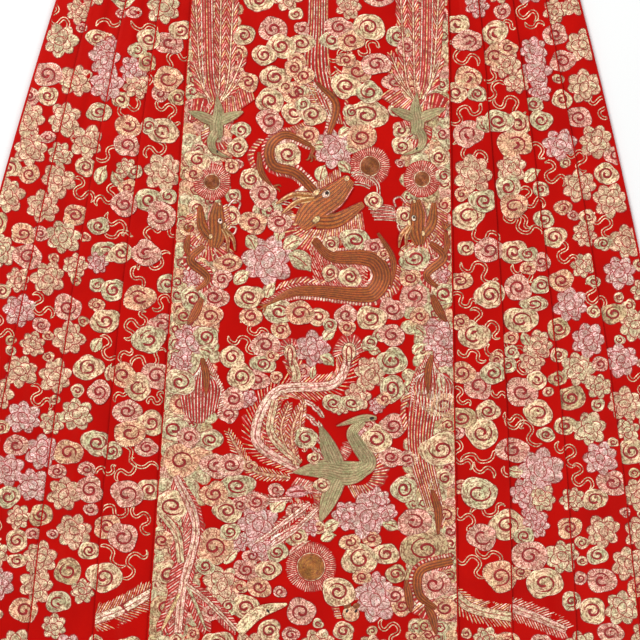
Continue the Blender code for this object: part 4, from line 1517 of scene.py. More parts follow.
PEONY_COLUMNS = ("u", "v", "radius", "thread", "turn")
PEONIES = (
    (104, 60, 15, "pink", 10), (107, 84, 16, "pink", 60), (133, 70, 13, "pink", 30),
    (137, 86, 13, "tan", 80), (163, 172, 18, "tan", 20), (126, 168, 10, "olive", 0),
    (506, 64, 14, "tan", 0), (517, 82, 12, "tan", 20), (533, 50, 13, "pink", 40), (536, 72, 15, "pink", 10),
    (540, 92, 11, "pink", 70), (473, 175, 18, "tan", 50), (512, 168, 14, "tan", 15),
    (538, 345, 14, "tan", 0), (540, 470, 21, "pink", 25), (542, 498, 13, "green", 0),
    (98, 263, 10, "pink", 0), (190, 340, 16, "pink", 0), (181, 362, 11, "pink", 30),
    (438, 336, 17, "pink", 10), (444, 358, 11, "pink", 50), (334, 148, 19, "pink", 0),
    (268, 261, 23, "pink", 15), (313, 349, 16.5, "pink", 0), (370, 374, 16, "tan", 20),
    (357, 397, 13, "tan", 60), (340, 406, 9, "green", 10), (366, 516, 20, "pink", 0),
    (378, 500, 12, "pink", 40), (258, 524, 19, "pink", 30), (247, 398, 9, "pink", 0),
    (222, 585, 18, "gold", 10), (262, 547, 14, "pink", 70), (346, 516, 14, "pink", 20),
    (385, 514, 12, "pink", 0), (374, 584, 12, "pink", 30), (377, 406, 8, "pink", 0),
    (108, 46, 11, "pink", 20), (538, 526, 11, "pink", 0), (359, 435, 6, "pink", 0),
    (311, 527, 10, "pink", 30), (532, 361, 12, "tan", 50), (523, 494, 13, "pink", 10),
    (534, 517, 12, "pink", 60), (376, 600, 20, "pink", 45), (194, 277, 11, "pink", 0),
    (440, 274, 10, "pink", 0), (239, 542, 10, "pink", 0),
)

LEAF_COLUMNS = ("u", "v", "length", "width", "angle", "thread")
LEAVES = (
    (103, 175, 20, 13, 70, "green"), (118, 178, 18, 12, 130, "green"), (98, 345, 16, 12, 60, "green"),
    (110, 372, 18, 7, 80, "green"), (533, 176, 20, 12, 40, "green"), (527, 338, 16, 10, 120, "green"),
    (515, 470, 17, 12, 170, "green"), (251, 244, 18, 14, -60, "green"), (243, 278, 20, 13, 40, "green"),
    (294, 244, 22, 14, 28, "green"), (300, 263, 28, 19, -38, "green"), (271, 290, 18, 12, 60, "green"),
    (281, 234, 15, 11, 70, "green"), (319, 146, 14, 13, 0, "green"), (353, 149, 15, 13, -10, "green"),
    (323, 173, 17, 13, 75, "green"), (344, 168, 16, 12, -40, "green"), (346, 133, 15, 11, 35, "green"),
    (330, 335, 16, 11, 40, "green"), (327, 361, 17, 12, -35, "green"), (375, 352, 12, 9, 0, "green"),
    (280, 506, 20, 15, 40, "green"), (232, 557, 20, 11, 45, "green"), (333, 527, 19, 12, 30, "green"),
    (391, 527, 18, 12, -20, "green"), (240, 389, 15, 10, 70, "green"), (206, 352, 15, 12, -20, "green"),
    (420, 332, 16, 12, -40, "green"), (420, 349, 16, 11, 40, "green"), (184, 381, 22, 13, 85, "green"),
    (443, 380, 24, 12, 95, "green"), (300, 548, 26, 6, 35, "pink"), (292, 532, 30, 6, 28, "pink"),
    (278, 540, 28, 6, 35, "white"), (314, 372, 14, 7, 80, "green"), (329, 538, 16, 10, 20, "green"),
    (366, 348, 12, 8, -30, "green"), (299, 494, 26, 12, 4, "lilac"),
)


def rows_strip(n, path, half, kinds, base, height, pitch):
    """A swept body of lengthwise thread rows, kinds taken in turn across it."""
    half = np.broadcast_to(half, (len(path),))
    columns = 2 * max(2, int(round(half.max() / pitch))) + 1
    across = np.linspace(-1, 1, columns)
    names = [kinds[number % len(kinds)] for number in range(columns)]
    # The red ground in painted shadow along the body's edges
    strip(n, path, half + 0.55, ("shaded_ground",) * 3, base - 0.1, 0.4, profile=(0, 1, 0))
    strip(n, path, half, names, base, height, profile=0.1 + 0.9 * (1 - np.abs(across) ** 2.5))


def swell(path, widest, start=0.4, end=0.12, fullest=0.5):
    """Half widths along a body: widest at fullest, and shares of that at its start and end."""
    t = np.linspace(0, 1, len(path))
    rising, falling = 1 - t / fullest, (t - fullest) / (1 - fullest)
    return widest * np.where(t < fullest, 1 - (1 - start) * rising**2, 1 - (1 - end) * falling**2)


MANE = ("white", "rose", "white")
BODY_THREADS, BODY_LIFT = ("umber", "orange"), 0.75


def dragon_body(n, bends, widest, bars=1, mane=0.7, **taper):
    """A scaled body: brown-gold rows, white belly bars on one side and a fringed back on the other."""
    path = curve(uv_path(bends), 9)
    half = swell(path, widest, **taper)
    if mane:
        fringe(n, path, np.maximum(half * mane, 4.5), 1.6, 42, -bars, MANE, 0.46, 0.3, half * 0.92)
    fringe(n, path, np.maximum(half * 0.5, 3.6), 2.3, 6, bars, ("white",), 0.8, 0.3, half * 0.96)
    rows_strip(n, path, half, BODY_THREADS, BODY_LIFT, 0.9, 1.45)


def arc(u, v, radius, first, last):
    """Bends evenly round part of a circle, from one angle to another, clockwise from the right."""
    angles = np.radians(np.linspace(first, last, 5))
    return tuple((u + radius * math.cos(a), v + radius * math.sin(a)) for a in angles)


def wave(u, v, length, swing, turns, phase):
    """Bends of an even S down the picture."""
    return tuple((u + swing * math.sin(phase + 2 * math.pi * turns * k / 10), v + length * k / 10)
                 for k in range(11))


def claw(n, u, v, angle, size):
    """Three toes and their nails."""
    for spread in (-38, 0, 38):
        a = math.radians(angle + spread)
        tip = (u + size * math.cos(a), v - size * math.sin(a))
        hook = (tip[0] + 0.4 * size * math.cos(a - 0.9), tip[1] - 0.4 * size * math.sin(a - 0.9))
        path = curve(uv_path([(u, v), tip, hook]), 4)
        half = np.linspace(1.4, 0.5, len(path))
        strip(n, path, half, ("umber", "orange", "umber"), 0.8, 0.5, profile=(0, 1, 0))


def limb(n, bends, widest):
    """A leg, in the body's own threads."""
    path = curve(uv_path(bends), 7)
    rows_strip(n, path, swell(path, widest), BODY_THREADS, 0.9, 0.7, 1.1)


SPOT_POINTS = 14


def patch(n, u, v, r, kind, long, turn, base, height):
    """A small padded spot, such as an eye."""
    cx, cy = plan(u, v)
    a = np.arange(SPOT_POINTS) * 2 * math.pi / SPOT_POINTS
    outline = r / np.hypot(np.cos(a) / long, np.sin(a))
    blob(n, cx, cy, outline, kind, 1.0, base, height, math.radians(turn), (), border=min(0.5, r * 0.3),
         contour=min(0.4, r * 0.25), edge_kind="ink" if kind == "ink" else "umber", grounded=False)


def hatch(n, first, last, rows, reach, spacing=1.6, lean=-48, kinds=("pink", "white", "rose"), base=0.0):
    """Rows of short slanting stitches that fill a form from one edge to the other."""
    first, last = curve(uv_path(first), 8), curve(uv_path(last), 8)
    for share in (np.arange(rows) + 0.2) / rows:
        fringe(n, first + (last - first) * share, reach, spacing, lean, 1, kinds, 0.5, base)


def lines(n, bends, shifts, kinds=("white", "straw"), half=0.62, base=0.3, spread=(1.0, 1.0), under=True):
    """Cords side by side along one path, nearer or farther apart towards its end."""
    path = curve(uv_path(bends), 7)
    _, side = normals(path)
    wide = np.linspace(*spread, len(path))[:, None]
    reach = max(abs(shifts[0]), abs(shifts[-1])) + 1.5
    if under:
        underlay(n, path + side * reach * wide, path - side * reach * wide, base - 0.04)
    for number, shift in enumerate(shifts):
        cord(n, path + side * shift * wide, half, kinds[number % len(kinds)], base)


def spray(n, bends, reach, lean, side=1, kinds=("white", "straw"), spacing=1.6, base=0.2):
    """A fringe along a path through a few bends."""
    fringe(n, curve(uv_path(bends), 8), reach, spacing, lean, side, kinds, 0.5, base)


class Design:
    """A figure in units of its own, x along it and y up, set on the picture by place, size and angle."""

    def __init__(self, n, u, v, size, angle, flip=False):
        self.n, self.u, self.v, self.size, self.flip = n, u, v, size, -1 if flip else 1
        self.cos, self.sin = math.cos(math.radians(angle)), math.sin(math.radians(angle))
        self.angle = angle

    def spots(self, points):
        """Places of the figure as places on the picture."""
        return [(self.u + self.size * (x * self.cos - self.flip * y * self.sin),
                 self.v - self.size * (x * self.sin + self.flip * y * self.cos)) for x, y in points]

    def body(self, points, widest, kinds, base, pitch=1.3, height=0.8, **taper):
        path = curve(uv_path(self.spots(points)), 8)
        rows_strip(self.n, path, swell(path, widest * self.size, **taper), kinds, base, height, pitch)

    def fringe(self, points, reach, lean, side, kinds, base):
        spray(self.n, self.spots(points), reach * self.size, lean, side * self.flip, kinds, 1.55, base)

    def spot(self, x, y, r, kind, long=1.0, turn=0.0, base=1.6, height=0.3):
        (u, v), = self.spots(((x, y),))
        patch(self.n, u, v, r * self.size, kind, long, self.angle + self.flip * turn, base, height)

    def strand(self, points, half, kind, base):
        cord(self.n, curve(uv_path(self.spots(points)), 6), half, kind, base, 0.3)


SKIN = ("umber", "orange", "hide")
WHISKERS = (
    ((5.8, 2.4), (7.4, 1.6), (8.6, -0.6), (8.0, -2.4)),
    ((-3.6, 2.0), (-6.4, 4.2), (-8.6, 2.4), (-7.6, 0.6)),
    ((5.6, 0.9), (6.6, 0.2), (7.4, -0.8)),
)


def dragon_head(n, u, v, size, angle, flip=False, whiskers=True):
    """A dragon's head in profile: skull and muzzle, open jaw, horns, brow, mane, beard and whiskers."""
    head = Design(n, u, v, size, angle, flip)
    head.fringe(((-5.0, 1.6), (-5.6, -1.4), (-3.0, -3.6), (1.0, -4.0), (4.6, -3.4)), 3.0, -30, -1,
                ("straw", "white", "straw", "rose"), 0.2)
    head.fringe(((-4.6, 0.8), (-4.4, -1.4), (-1.5, -3.2), (4.0, -3.2)), 1.8, -30, -1,
                ("straw", "white"), 0.45)
    head.fringe(((-1.6, 2.9), (1.0, 2.8), (4.2, 3.0)), 1.5, 25, 1, ("white", "straw"), 0.3)
    head.body(((-2.6, -1.4), (0.6, -2.8), (5.4, -2.5)), 1.2, SKIN, 1.0, start=0.9, end=0.35, fullest=0.3)
    head.body(((-5.2, -0.9), (-1.6, 0.4), (2.2, 0.9), (5.4, 2.0)), 2.2, SKIN, 1.1,
              start=0.5, end=0.4, fullest=0.35)
    head.strand(((-0.6, -1.3), (2.2, -1.0), (5.2, 0.6)), 0.5, "rose", 2.0)
    for lift in (0.0, 1.3):
        horn = ((-1.0, 2.0 + 0.3 * lift), (-3.8, 2.7 + lift), (-6.8, 2.2 + 1.4 * lift))
        head.body(horn, 0.5, ("hide", "straw", "hide"), 1.5, start=0.9, end=0.2, fullest=0.2)
    for x, y, r, long in ((5.0, 2.3, 0.42, 1.2), (-2.4, -1.2, 0.5, 1.5), (-0.4, 2.6, 0.45, 1.9)):
        head.spot(x, y, r, "straw", long, 20, 2.1)
    head.spot(0.9, 1.7, 0.62, "white", 1.2, 10, 2.2)
    head.spot(1.1, 1.75, 0.3, "ink", 1.1, 0, 2.5, 0.2)
    if whiskers:
        for points in WHISKERS:
            lines(n, head.spots(points), (0.0, 2.6), ("white",), 0.6, under=False)
        for number in range(5):
            y = -2.9 - 0.62 * number
            strand = ((5.8, y), (7.4, y - 0.9), (9.2, y - 2.2), (9.0, y - 3.2))
            lines(n, head.spots(strand), (-0.85, 0.85), ("white", "rose"), 0.5, under=False)


# For each way to look: the bends of the neck and those of the head
NECKS = {
    "back": (((2.6, 0.2), (4.2, 1.4), (2.9, 3.6), (2.2, 5.2), (3.6, 6.6)),
             ((5.2, 7.0), (3.2, 6.9), (0.2, 6.0))),
    "ahead": (((2.6, 0.0), (4.6, -1.0), (6.4, -0.6), (7.3, 0.5)),
              ((6.6, -0.1), (7.6, 1.2), (8.2, 3.2))),
}


def bird(n, u, v, size, angle, flip=False, gaze="back"):
    """A phoenix without its plumes: body, two raised wings, a curved neck and a head with a long beak."""
    figure = Design(n, u, v, size, angle, flip)
    neck, head = NECKS[gaze]
    rows = ("moss", "pale_moss")
    figure.fringe(((1.6, -1.4), (3.9, -1.2), (4.9, 0.6), (4.4, 2.4)), 1.9, 26, -1,
                  ("white", "straw", "white"), 0.2)
    figure.fringe(((0.6, 1.0), (1.8, 2.2), (2.4, 3.6)), 1.4, 0, 1, ("white", "rose"), 0.2)
    figure.fringe(((-4.6, -0.4), (-2.4, -1.2), (-1.4, -3.0)), 1.3, -20, -1, ("rose", "white"), 0.2)
    for side in (-1, 1):
        wing = ((0.4, side * 0.4), (-0.7, side * 3.0), (-1.8, side * 5.9))
        figure.body(wing, 1.15, rows, 0.75, start=0.9, end=0.15, fullest=0.3)
    figure.body(((-5.3, 0.2), (-1.6, 0.6), (1.4, 0.1), (3.8, 0.6)), 1.5, rows, 0.95,
                start=0.05, end=0.55, fullest=0.65)
    figure.body(neck, 1.0, rows, 1.05, start=1.0, end=0.45, fullest=0.08)
    figure.body(head, 0.46, rows, 1.3, start=0.4, end=0.1, fullest=0.35)
    place = 0.7 * np.array(head[0]) + 0.3 * np.array(head[1])
    figure.spot(*place, 0.2, "ink", 1.6, 10, 2.1, 0.15)


LOOP = ((-0.25, 2.0), (-0.38, 0.2), (-0.2, -0.7), (0.2, -0.7), (0.38, 0.2), (0.25, 2.0))


def plume_tip(n, u, v, r, turn):
    """The eye of a long plume: a pale pad in a ring of barbs, with a red loop of the ground in painted shade.
    """
    ring = np.linspace(math.radians(-10), math.radians(190), 15)
    rim = np.array(plan(u, v)) + np.stack([r * np.cos(ring), 1.25 * r * np.sin(ring)], -1)
    fringe(n, rim, r * 1.35, 1.15, 22, -1, ("white", "rose"), 0.45, 0.3)
    patch(n, u, v, r, "cord", 1.45, turn, 1.5, 0.4)
    loop = [(u + r * x, v + r * y) for x, y in LOOP]
    strip(n, curve(uv_path(loop), 5), 0.65, ("shaded_groove",) * 2, 2.0, 0.0)


def big_dragon(n):
    """The large dragon of the panel's upper half, its body curling round below its head."""
    hatch(n, ((312, 254), (340, 266), (368, 268)), ((318, 288), (344, 294), (368, 284)), 5, 9.0, 1.5)
    spray(n, ((276, 290), (298, 283), (320, 284)), 9.0, 55)
    bends = ((314, 240), (332, 256), *arc(363, 276, 19, -95, 95), (300, 291), (266, 305))
    dragon_body(n, bends, 9.0, start=0.4, end=0.12, fullest=0.55)
    limb(n, ((378, 233), (393, 260), (391, 287)), 2.9)
    spray(n, ((392, 262), (394, 282), (382, 299)), 9.0, 40)
    dragon_head(n, 326, 206, 6.3, 28)
    claw(n, 266, 305, 215, 7)


def small_dragon(n):
    """A small dragon's curled body and legs, at the panel's upper left."""
    spray(n, ((264, 140), (254, 154), (257, 170)), 6.5, 28, -1, spacing=2.0)
    bends = ((311, 145), *arc(287, 153, 18, -80, -230), (296, 173), (314, 191))
    dragon_body(n, bends, 5.0, start=0.45, end=0.8, mane=0.9)
    limb(n, ((259, 152), (261, 172), (272, 187)), 3.2)
    limb(n, ((308, 144), (313, 149), (310, 156)), 1.9)
    claw(n, 272, 187, -20, 7)
    claw(n, 311, 154, -80, 6)
    spray(n, ((279, 131), (292, 126), (306, 121)), 9.0, 20, -1, ("straw", "white"))


PLUME_COLUMNS = ("bends", "width", "core", "barbs", "spine", "base")
PHOENIX_PLUMES = (
    (((290, 478), (252, 469), (228, 432)), 7.5, 1.6, ("white", "straw"), "tan", 0.0),
    (((298, 470), (256, 440), (276, 392), (334, 384), (351, 350)), 15.5, 4.9,
     ("white", "straw", "rose"), "petal_pink", 0.0),
    (((300, 464), (271, 434), (275, 400)), 9.0, 4.0, ("straw", "white"), "green", 0.4),
    (((294, 464), (281, 432), (289, 404)), 6.0, 1.2, ("straw", "white"), "tan", 0.45),
    (((296, 466), (292, 432), (304, 402)), 6.5, 1.4, ("straw", "white"), "tan", 0.5),
    (((305, 452), (300, 430), (303, 404)), 5.0, 1.0, ("white", "straw"), "tan", 0.4),
    (((296, 382), (296, 372), (292, 360)), 11.0, 4.6, ("white", "straw"), "green", 0.5),
    (((292, 499), (268, 500), (248, 494)), 6.0, 2.4, ("pink", "white"), "petal_pink", 0.3),
    (((310, 503), (284, 523), (256, 544)), 6.0, 2.4, ("pink", "white"), "petal_pink", 0.3),
    (((318, 508), (296, 529), (270, 548)), 6.0, 2.4, ("pink", "white"), "petal_pink", 0.3),
)


def big_phoenix(n):
    """The large phoenix of the panel's lower half, with its plumes."""
    for row in PHOENIX_PLUMES:
        p = dict(zip(PLUME_COLUMNS, row))
        feather(n, p["bends"], p["width"], p["core"], p["barbs"], p["spine"], base=p["base"],
                spacing=1.9 if p["core"] > BROAD_CORE else 1.7)
    plume_tip(n, 290, 353, 6.2, 98)
    plume_tip(n, 349, 352, 7.0, 84)
    for row in range(4):
        for column in range(3):
            u, v = 309 + 6 * column + rng.uniform(-1, 1), 402 + 14 * row + 5 * column
            leaf(n, u, v, 13, 4.8, 150 - 15 * column, "white", 0.3)
    bird(n, 335, 474, 8.0, 0)
    for u, v, r in ((322, 485, 8), (314, 458, 7)):
        cloud(n, u, v, r, "gold", 40, 1, 1.0, 1.5)
    leaf(n, 300, 493, 26, 9, 5, "pink", 0.3)
    hatch(n, ((296, 500), (306, 508), (318, 514)), ((292, 512), (304, 520), (316, 526)), 2, 7.0)
    hatch(n, ((298, 492), (310, 496), (324, 502)), ((300, 526), (312, 530), (324, 534)), 3, 8.0, 1.7, -40,
          ("straw", "pink", "white"))
    hatch(n, ((310, 486), (313, 500), (311, 518)), ((324, 486), (325, 500), (318, 516)), 3, 7.0, 1.8, 30,
          ("straw", "rose", "white", "tan"), 0.4)
    cloud(n, 319, 528, 7, "tan", 20, 1, 1.0, 0.5)


TAIL_COLUMNS = ("lean", "top", "width")
TAIL = ((-24, -70, 6.5), (6, -70, 6.0), (20, -60, 6.0), (27, 58, 5.0), (26, 76, 4.6), (-22, 64, 5.0))
TAIL_U, TAIL_V = 216, 102


def side_band(n, flip):
    """The band on one side of the front panel: a diving phoenix, a flaming pearl, a dragon and a tail fan."""

    def at(*points):
        return tuple((634.0 - u, v - 3.0) if flip else (u, v) for u, v in points)

    def turned(angle):
        return 180 - angle if flip else angle

    way = -1 if flip else 1
    for row in TAIL:
        p = dict(zip(TAIL_COLUMNS, row))
        lean, top = p["lean"], p["top"]
        bends = at((TAIL_U + 0.2 * lean, TAIL_V), (TAIL_U + 0.65 * lean, (TAIL_V + max(top, 40)) / 2),
                   (TAIL_U + lean, top))
        feather(n, bends, p["width"], 0.8, ("straw", "white", "rose"), "cord", spacing=1.6, base=0.3, lean=64)
    lines(n, at((214, 102), (208, 66), (206, -70)), np.arange(-5.2, 5.3, 2.6),
          ("white", "rose", "straw", "rose", "white"), 0.6, 0.5)
    wings = ((((190, 121), (200, 119), (213, 121)), 22), (((222, 118), (236, 112), (254, 100)), 19))
    for points, reach in wings:
        for inset, base in ((0, 0.3), (9, 0.5)):
            spray(n, at(*points), reach - inset, way * 20, way, ("white", "rose", "straw"), 1.8, base)
    bird(n, *at((216, 120))[0], 4.6, -90, flip, "ahead")
    fireball(n, *at((212, 182))[0], 7.6, 18.4)
    dragon_body(n, at(*wave(199, 246, 44, 8.5, 1.15, 2.5)), 4.3, bars=-way, start=0.5, end=0.35, fullest=0.4)
    limb(n, at((189, 235), (187, 247), (190, 259)), 2.9)
    claw(n, *at((189, 232))[0], turned(100), 6)
    limb(n, at((202, 298), (196, 312), (188, 325)), 4.0)
    dragon_head(n, *at((214, 226))[0], 4.1, turned(100), not flip, False)
    curls = (((228, 206), (234, 200), (240, 203), (238, 210)),
             ((226, 230), (233, 234), (236, 228), (230, 226)))
    for curl in curls:
        lines(n, at(*curl), (0.0,), ("white",), 0.75)
    for number in range(13):
        share = number / 12
        top = (199 + 6 * share, 360 + 26 * abs(share - 0.5))
        foot = (184 + 33 * share, 424 - 34 * abs(share - 0.45) ** 1.3)
        bend = ((top[0] * 0.4 + foot[0] * 0.6) + (share - 0.5) * 17, (top[1] + foot[1]) / 2 - 6)
        lines(n, at(top, bend, foot), (0.0,), ("white", "straw"), 0.5, 0.3)
    spray(n, at((206, 362), (220, 390), (217, 416)), 5.0, -40, way, ("white",), 1.5, 0.3)
    limb(n, at((202, 358), (206, 375), (206, 396)), 3.4)


def lower_left_band(n):
    """Long plumes low on the left band."""
    barbs = ("white", "rose")
    feather(n, ((176, 476), (196, 526), (183, 586), (178, 632)), 16.0, 4.4, barbs, "petal_pink", base=0.4,
            spacing=1.8, shares=(1.0, 0.4))
    feather(n, ((164, 516), (177, 534), (181, 562)), 10.0, 4.2, barbs, "green", base=0.6,
            spacing=1.9, shares=(1.0, 0.3))
    ends = ((162, 9.0, 2.0, "straw"), (236, 8.0, 2.4, "white"), (206, 8.0, 1.6, "green"))
    for foot, width, core, spine in ends:
        bends = ((186, 584), (0.6 * 186 + 0.4 * foot, 600), (foot, 630))
        feather(n, bends, width, core, barbs, spine, base=0.4, spacing=1.9)


def lower_right_band(n):
    """Rows of cord, sprays, legs and a short body low on the right band."""
    lines(n, ((426, 386), (420, 446), (434, 506)), np.arange(-10.4, 10.5, 2.6), spread=(1.3, 0.75), half=0.55)
    spray(n, ((412, 392), (406, 408), (408, 424)), 8.0, 50, -1)
    spray(n, ((432, 478), (440, 500), (446, 520)), 11.0, 50, -1, base=0.3)
    limb(n, ((432, 490), (438, 510), (438, 534)), 3.6)
    dragon_body(n, ((452, 560), (421, 570), (419, 594), (436, 608)), 4.5, bars=-1, start=0.9, end=0.45)
    limb(n, ((406, 580), (409, 598), (411, 612)), 3.8)
    limb(n, ((426, 606), (432, 616), (436, 634)), 3.8)
    spray(n, ((420, 602), (430, 606), (448, 602)), 14.0, -20, -1, base=0.3)


def top_column(n):
    """The long tail that hangs down the middle from above, ending in a spray of barbs."""
    for number in range(8):
        k = number / 7
        drop = ((311 + 18 * k, -84), (309 + 18 * k, 20), (305 + 25 * k, 74), (327 + 15 * k, 122 + 2 * k))
        lines(n, drop, (0.0,), ("white", "straw", "white")[number % 3:], 0.52, 0.3)
    for side, bends in ((1, ((334, 66), (344, 96), (343, 126))), (-1, ((303, 68), (305, 92), (322, 116)))):
        spray(n, bends, 7.0, 60, side, spacing=1.7)
    dragon_body(n, ((316, 82), (336, 104), (329, 134)), 3.5, bars=-1, mane=0, start=0.3, end=0.6)
    for bends in (((296, 58), (302, 74), (308, 92)), ((303, 92), (310, 104), (318, 112))):
        spray(n, bends, 10.0, 30, 1, ("straw", "white"))


def feather_bands(n_left, n_right):
    """The long plumes low on both sides."""
    feather(n_left, ((70, 626), (116, 612), (153, 592)), 16.0, 5.0, spine="white")
    feather(n_right, ((450, 590), (480, 611), (570, 622)), 14.0, 5.0, spine="green")
    n_right.region = 2
    feather(n_right, ((490, 601), (526, 613), (566, 630)), 13.0, 4.4, ("white", "pink"), "petal_pink")


def small_beasts(n):
    """Two small beasts low on the panel, of which little shows between the motifs."""
    neck = curve(uv_path([(238, 632), (258, 613), (287, 604)]), 9)
    rows_strip(n, neck, swell(neck, 6.4, 0.9, 0.15, 0.4), ("green", "gold"), 0.9, 0.6, 1.6)
    patch(n, 268, 611, 1.2, "ink", 2.0, -50, 1.6, 0.15)
    patch(n, 351, 614, 8, "tan", 1.1, 0, 0.5, 0.6)
    for u in (347, 356):
        patch(n, u, 611, 1.3, "ink", 1.6, 60, 1.1, 0.15)
        patch(n, u + 0.4, 606, 3, "brown", 1.3, 20, 0.9, 0.3)
    spray(n, ((342, 618), (340, 604), (358, 600)), 7.0, 10, 1, ("straw", "white"), 1.7)


# Working the tables, each motif again on the next pleat where it crosses a fold

frog_satin, cotton_thread = frog_material(), thread_only_material()
for frog_number, frog_above in enumerate(FROG_HEIGHTS, start=1):
    frog(frog_number, frog_above)
band_stitches()

needles = {"front": Needle(), "bands": Needle(), "right": Needle(), "left": Needle()}
backs = {"front": Needle(False), "right": Needle(False), "left": Needle(False)}


def side_of(region):
    """The name of the side that a face is on."""
    return "front" if region == 0 else "right" if region > 0 else "left"


def worked(sides, u, v, reach, work):
    """Works a motif on the face that it lies on, and again on a pleat that it crosses onto."""
    home = region_at(*map(float, plan(u, v)))
    if home is None:
        return
    n = sides[side_of(home)]
    n.region = home
    start = len(n.points)
    work(n)
    for step in (-reach, reach):
        region = region_at(*map(float, plan(u + step, v)))
        if region not in (None, home, 0) and home != 0 and region * home > 0:
            n.repeat(start, region)
            return


# Shares of a face's corners that give places all over it, for triangles and for quads
STEPS = (0.0, 0.33, 0.67, 1.0)
BLENDS = {
    3: [np.array([a, b, 1 - a - b]) for a in STEPS for b in STEPS if a + b <= 1.001],
    4: [np.array([(1 - a) * (1 - b), a * (1 - b), a * b, (1 - a) * b]) for a in STEPS for b in STEPS],
}


class Ground:
    """A grid of which places on one face of the skirt are already worked."""

    CELL = 2.0

    def __init__(self):
        self.low = np.array([-HALF_HEM - 4, WAIST_Y - SKIRT_LENGTH - 4])
        size = (np.array([2 * HALF_HEM + 8, SKIRT_LENGTH + 8]) / self.CELL).astype(int) + 1
        self.taken = np.zeros(size, bool)

    def cells(self, x, y):
        spot = ((np.stack([x, y], -1) - self.low) / self.CELL).astype(int)
        return np.clip(spot, 0, np.array(self.taken.shape) - 1).T

    def mark(self, n):
        points = np.concatenate(n.points)[:, :2]
        for faces in (np.concatenate(n.quads), np.concatenate(n.tris)):
            corners = points[faces]
            for weights in BLENDS[faces.shape[1]]:
                spot = np.tensordot(corners, weights, ((1,), (0,)))
                self.taken[tuple(self.cells(spot[:, 0], spot[:, 1]))] = True

    def disc(self, x, y, r):
        reach = int(r / self.CELL) + 1
        cx, cy = self.cells(np.array([x]), np.array([y]))[:, 0]
        i, j = np.indices((2 * reach + 1, 2 * reach + 1)) - reach
        near = i * i + j * j <= (r / self.CELL) ** 2
        i, j = cx + i[near], cy + j[near]
        inside = (i >= 0) & (j >= 0) & (i < self.taken.shape[0]) & (j < self.taken.shape[1])
        return i[inside], j[inside]

    def free(self, x, y, r):
        return not self.taken[self.disc(x, y, r)].any()

    def take(self, x, y, r):
        self.taken[self.disc(x, y, r)] = True


FILL_COLUMNS = ("motif", "radius", "tries", "in_picture")
FILL = (
    ("peony", 16.0, 900, False),
    ("peony", 12.0, 900, False),
    ("cloud", 14.0, 2500, False),
    ("cloud", 12.0, 3000, False),
    ("ribbon", 10.0, 2500, False),
    ("cloud", 10.5, 5000, True),
    ("cloud", 8.6, 6000, True),
    ("cloud", 7.2, 3000, False),
    ("cloud", 5.8, 3000, False),
)
FILL_THREADS = ("gold", "gold", "pink", "green", "tan", "pink", "gold", "olive")
RED_CHANNELS = ((245, 7), (391, 6))
# The part of the picture that the tables fill: its first and last u, then v
TABLED = (94, 546, 18, 622)
FILL_TOP, FILL_FOOT = 16.0, 6.0


def picture_place(x, y):
    """The place on the picture of an x and y on the skirt: plan() the other way."""
    c, s = math.cos(PICTURE_TURN), math.sin(PICTURE_TURN)
    below = y - (WAIST_Y - PICTURE_TOP_DOWN)
    return PICTURE_AXIS_U + x * c + below * s, PICTURE_TOP_V + x * s - below * c


def fill_ground(sides, ground, tables=True):
    """Seeded motifs wherever there is room: small ones between those of the tables, larger ones elsewhere."""
    for row in FILL:
        f = dict(zip(FILL_COLUMNS, row))
        r = f["radius"]
        xs = rng.uniform(-HALF_HEM, HALF_HEM, f["tries"])
        downs = rng.uniform(FILL_TOP, SKIRT_LENGTH - FILL_FOOT, f["tries"])
        for x, down in zip(xs, downs):
            y = float(y_of(x, down))
            u, v = picture_place(x, y)
            inside = tables and TABLED[0] < u < TABLED[1] and TABLED[2] < v < TABLED[3]
            if region_at(x, y) is None or (inside and not f["in_picture"]):
                continue
            if not ground.free(x, y, r * (0.8 if inside else 0.84)):
                continue
            if inside and any(abs(u - middle) < width for middle, width in RED_CHANNELS):
                continue
            kind = FILL_THREADS[int(rng.integers(len(FILL_THREADS)))]
            wise = 1 if rng.random() < 0.5 else -1
            turn = rng.uniform(0, 360)
            if f["motif"] == "peony":
                worked(sides, u, v, r * 0.8, lambda n: peony(n, u, v, r, kind, turn, 0.2))
            elif f["motif"] == "ribbon":
                worked(sides, u, v, r * 0.8,
                       lambda n: ribbon(n, u - 10, v - 12, u + 8, v + 12, 1.5, wise * 8))
            else:
                worked(sides, u, v, r * 0.8, lambda n: cloud(n, u, v, r, kind, turn, wise, 1.0, 0.1))
            ground.take(x, y, r * 0.98)


BAND_OFFSETS = (7.0, 19.0, 31.0, 43.0)
GROUND_STEP = 12.0
GROUND_THREADS = ("green", "gold", "green", "olive", "tan", "green", "pink")


def band_ground(n, side):
    """The close pale ground of the bands along the front panel's edges."""
    for down in np.arange(20, SKIRT_LENGTH - 4, GROUND_STEP):
        for column, offset in enumerate(BAND_OFFSETS):
            if column == 3 and rng.random() < 0.3:
                continue
            r = rng.uniform(8.6, 11.0) * (0.85 if column == 3 else 1)
            x = side * (fold_x(0, down) - offset + rng.uniform(-2, 2))
            u, v = picture_place(x, float(y_of(x, down + rng.uniform(-3, 3))))
            kind = GROUND_THREADS[int(rng.integers(len(GROUND_THREADS)))]
            turn, lift = rng.uniform(0, 360), 0.12 * (column % 3) - 0.1
            cloud(n, u, v, r, kind, turn, 1, 1.0, lift, rng.random() < 0.35)


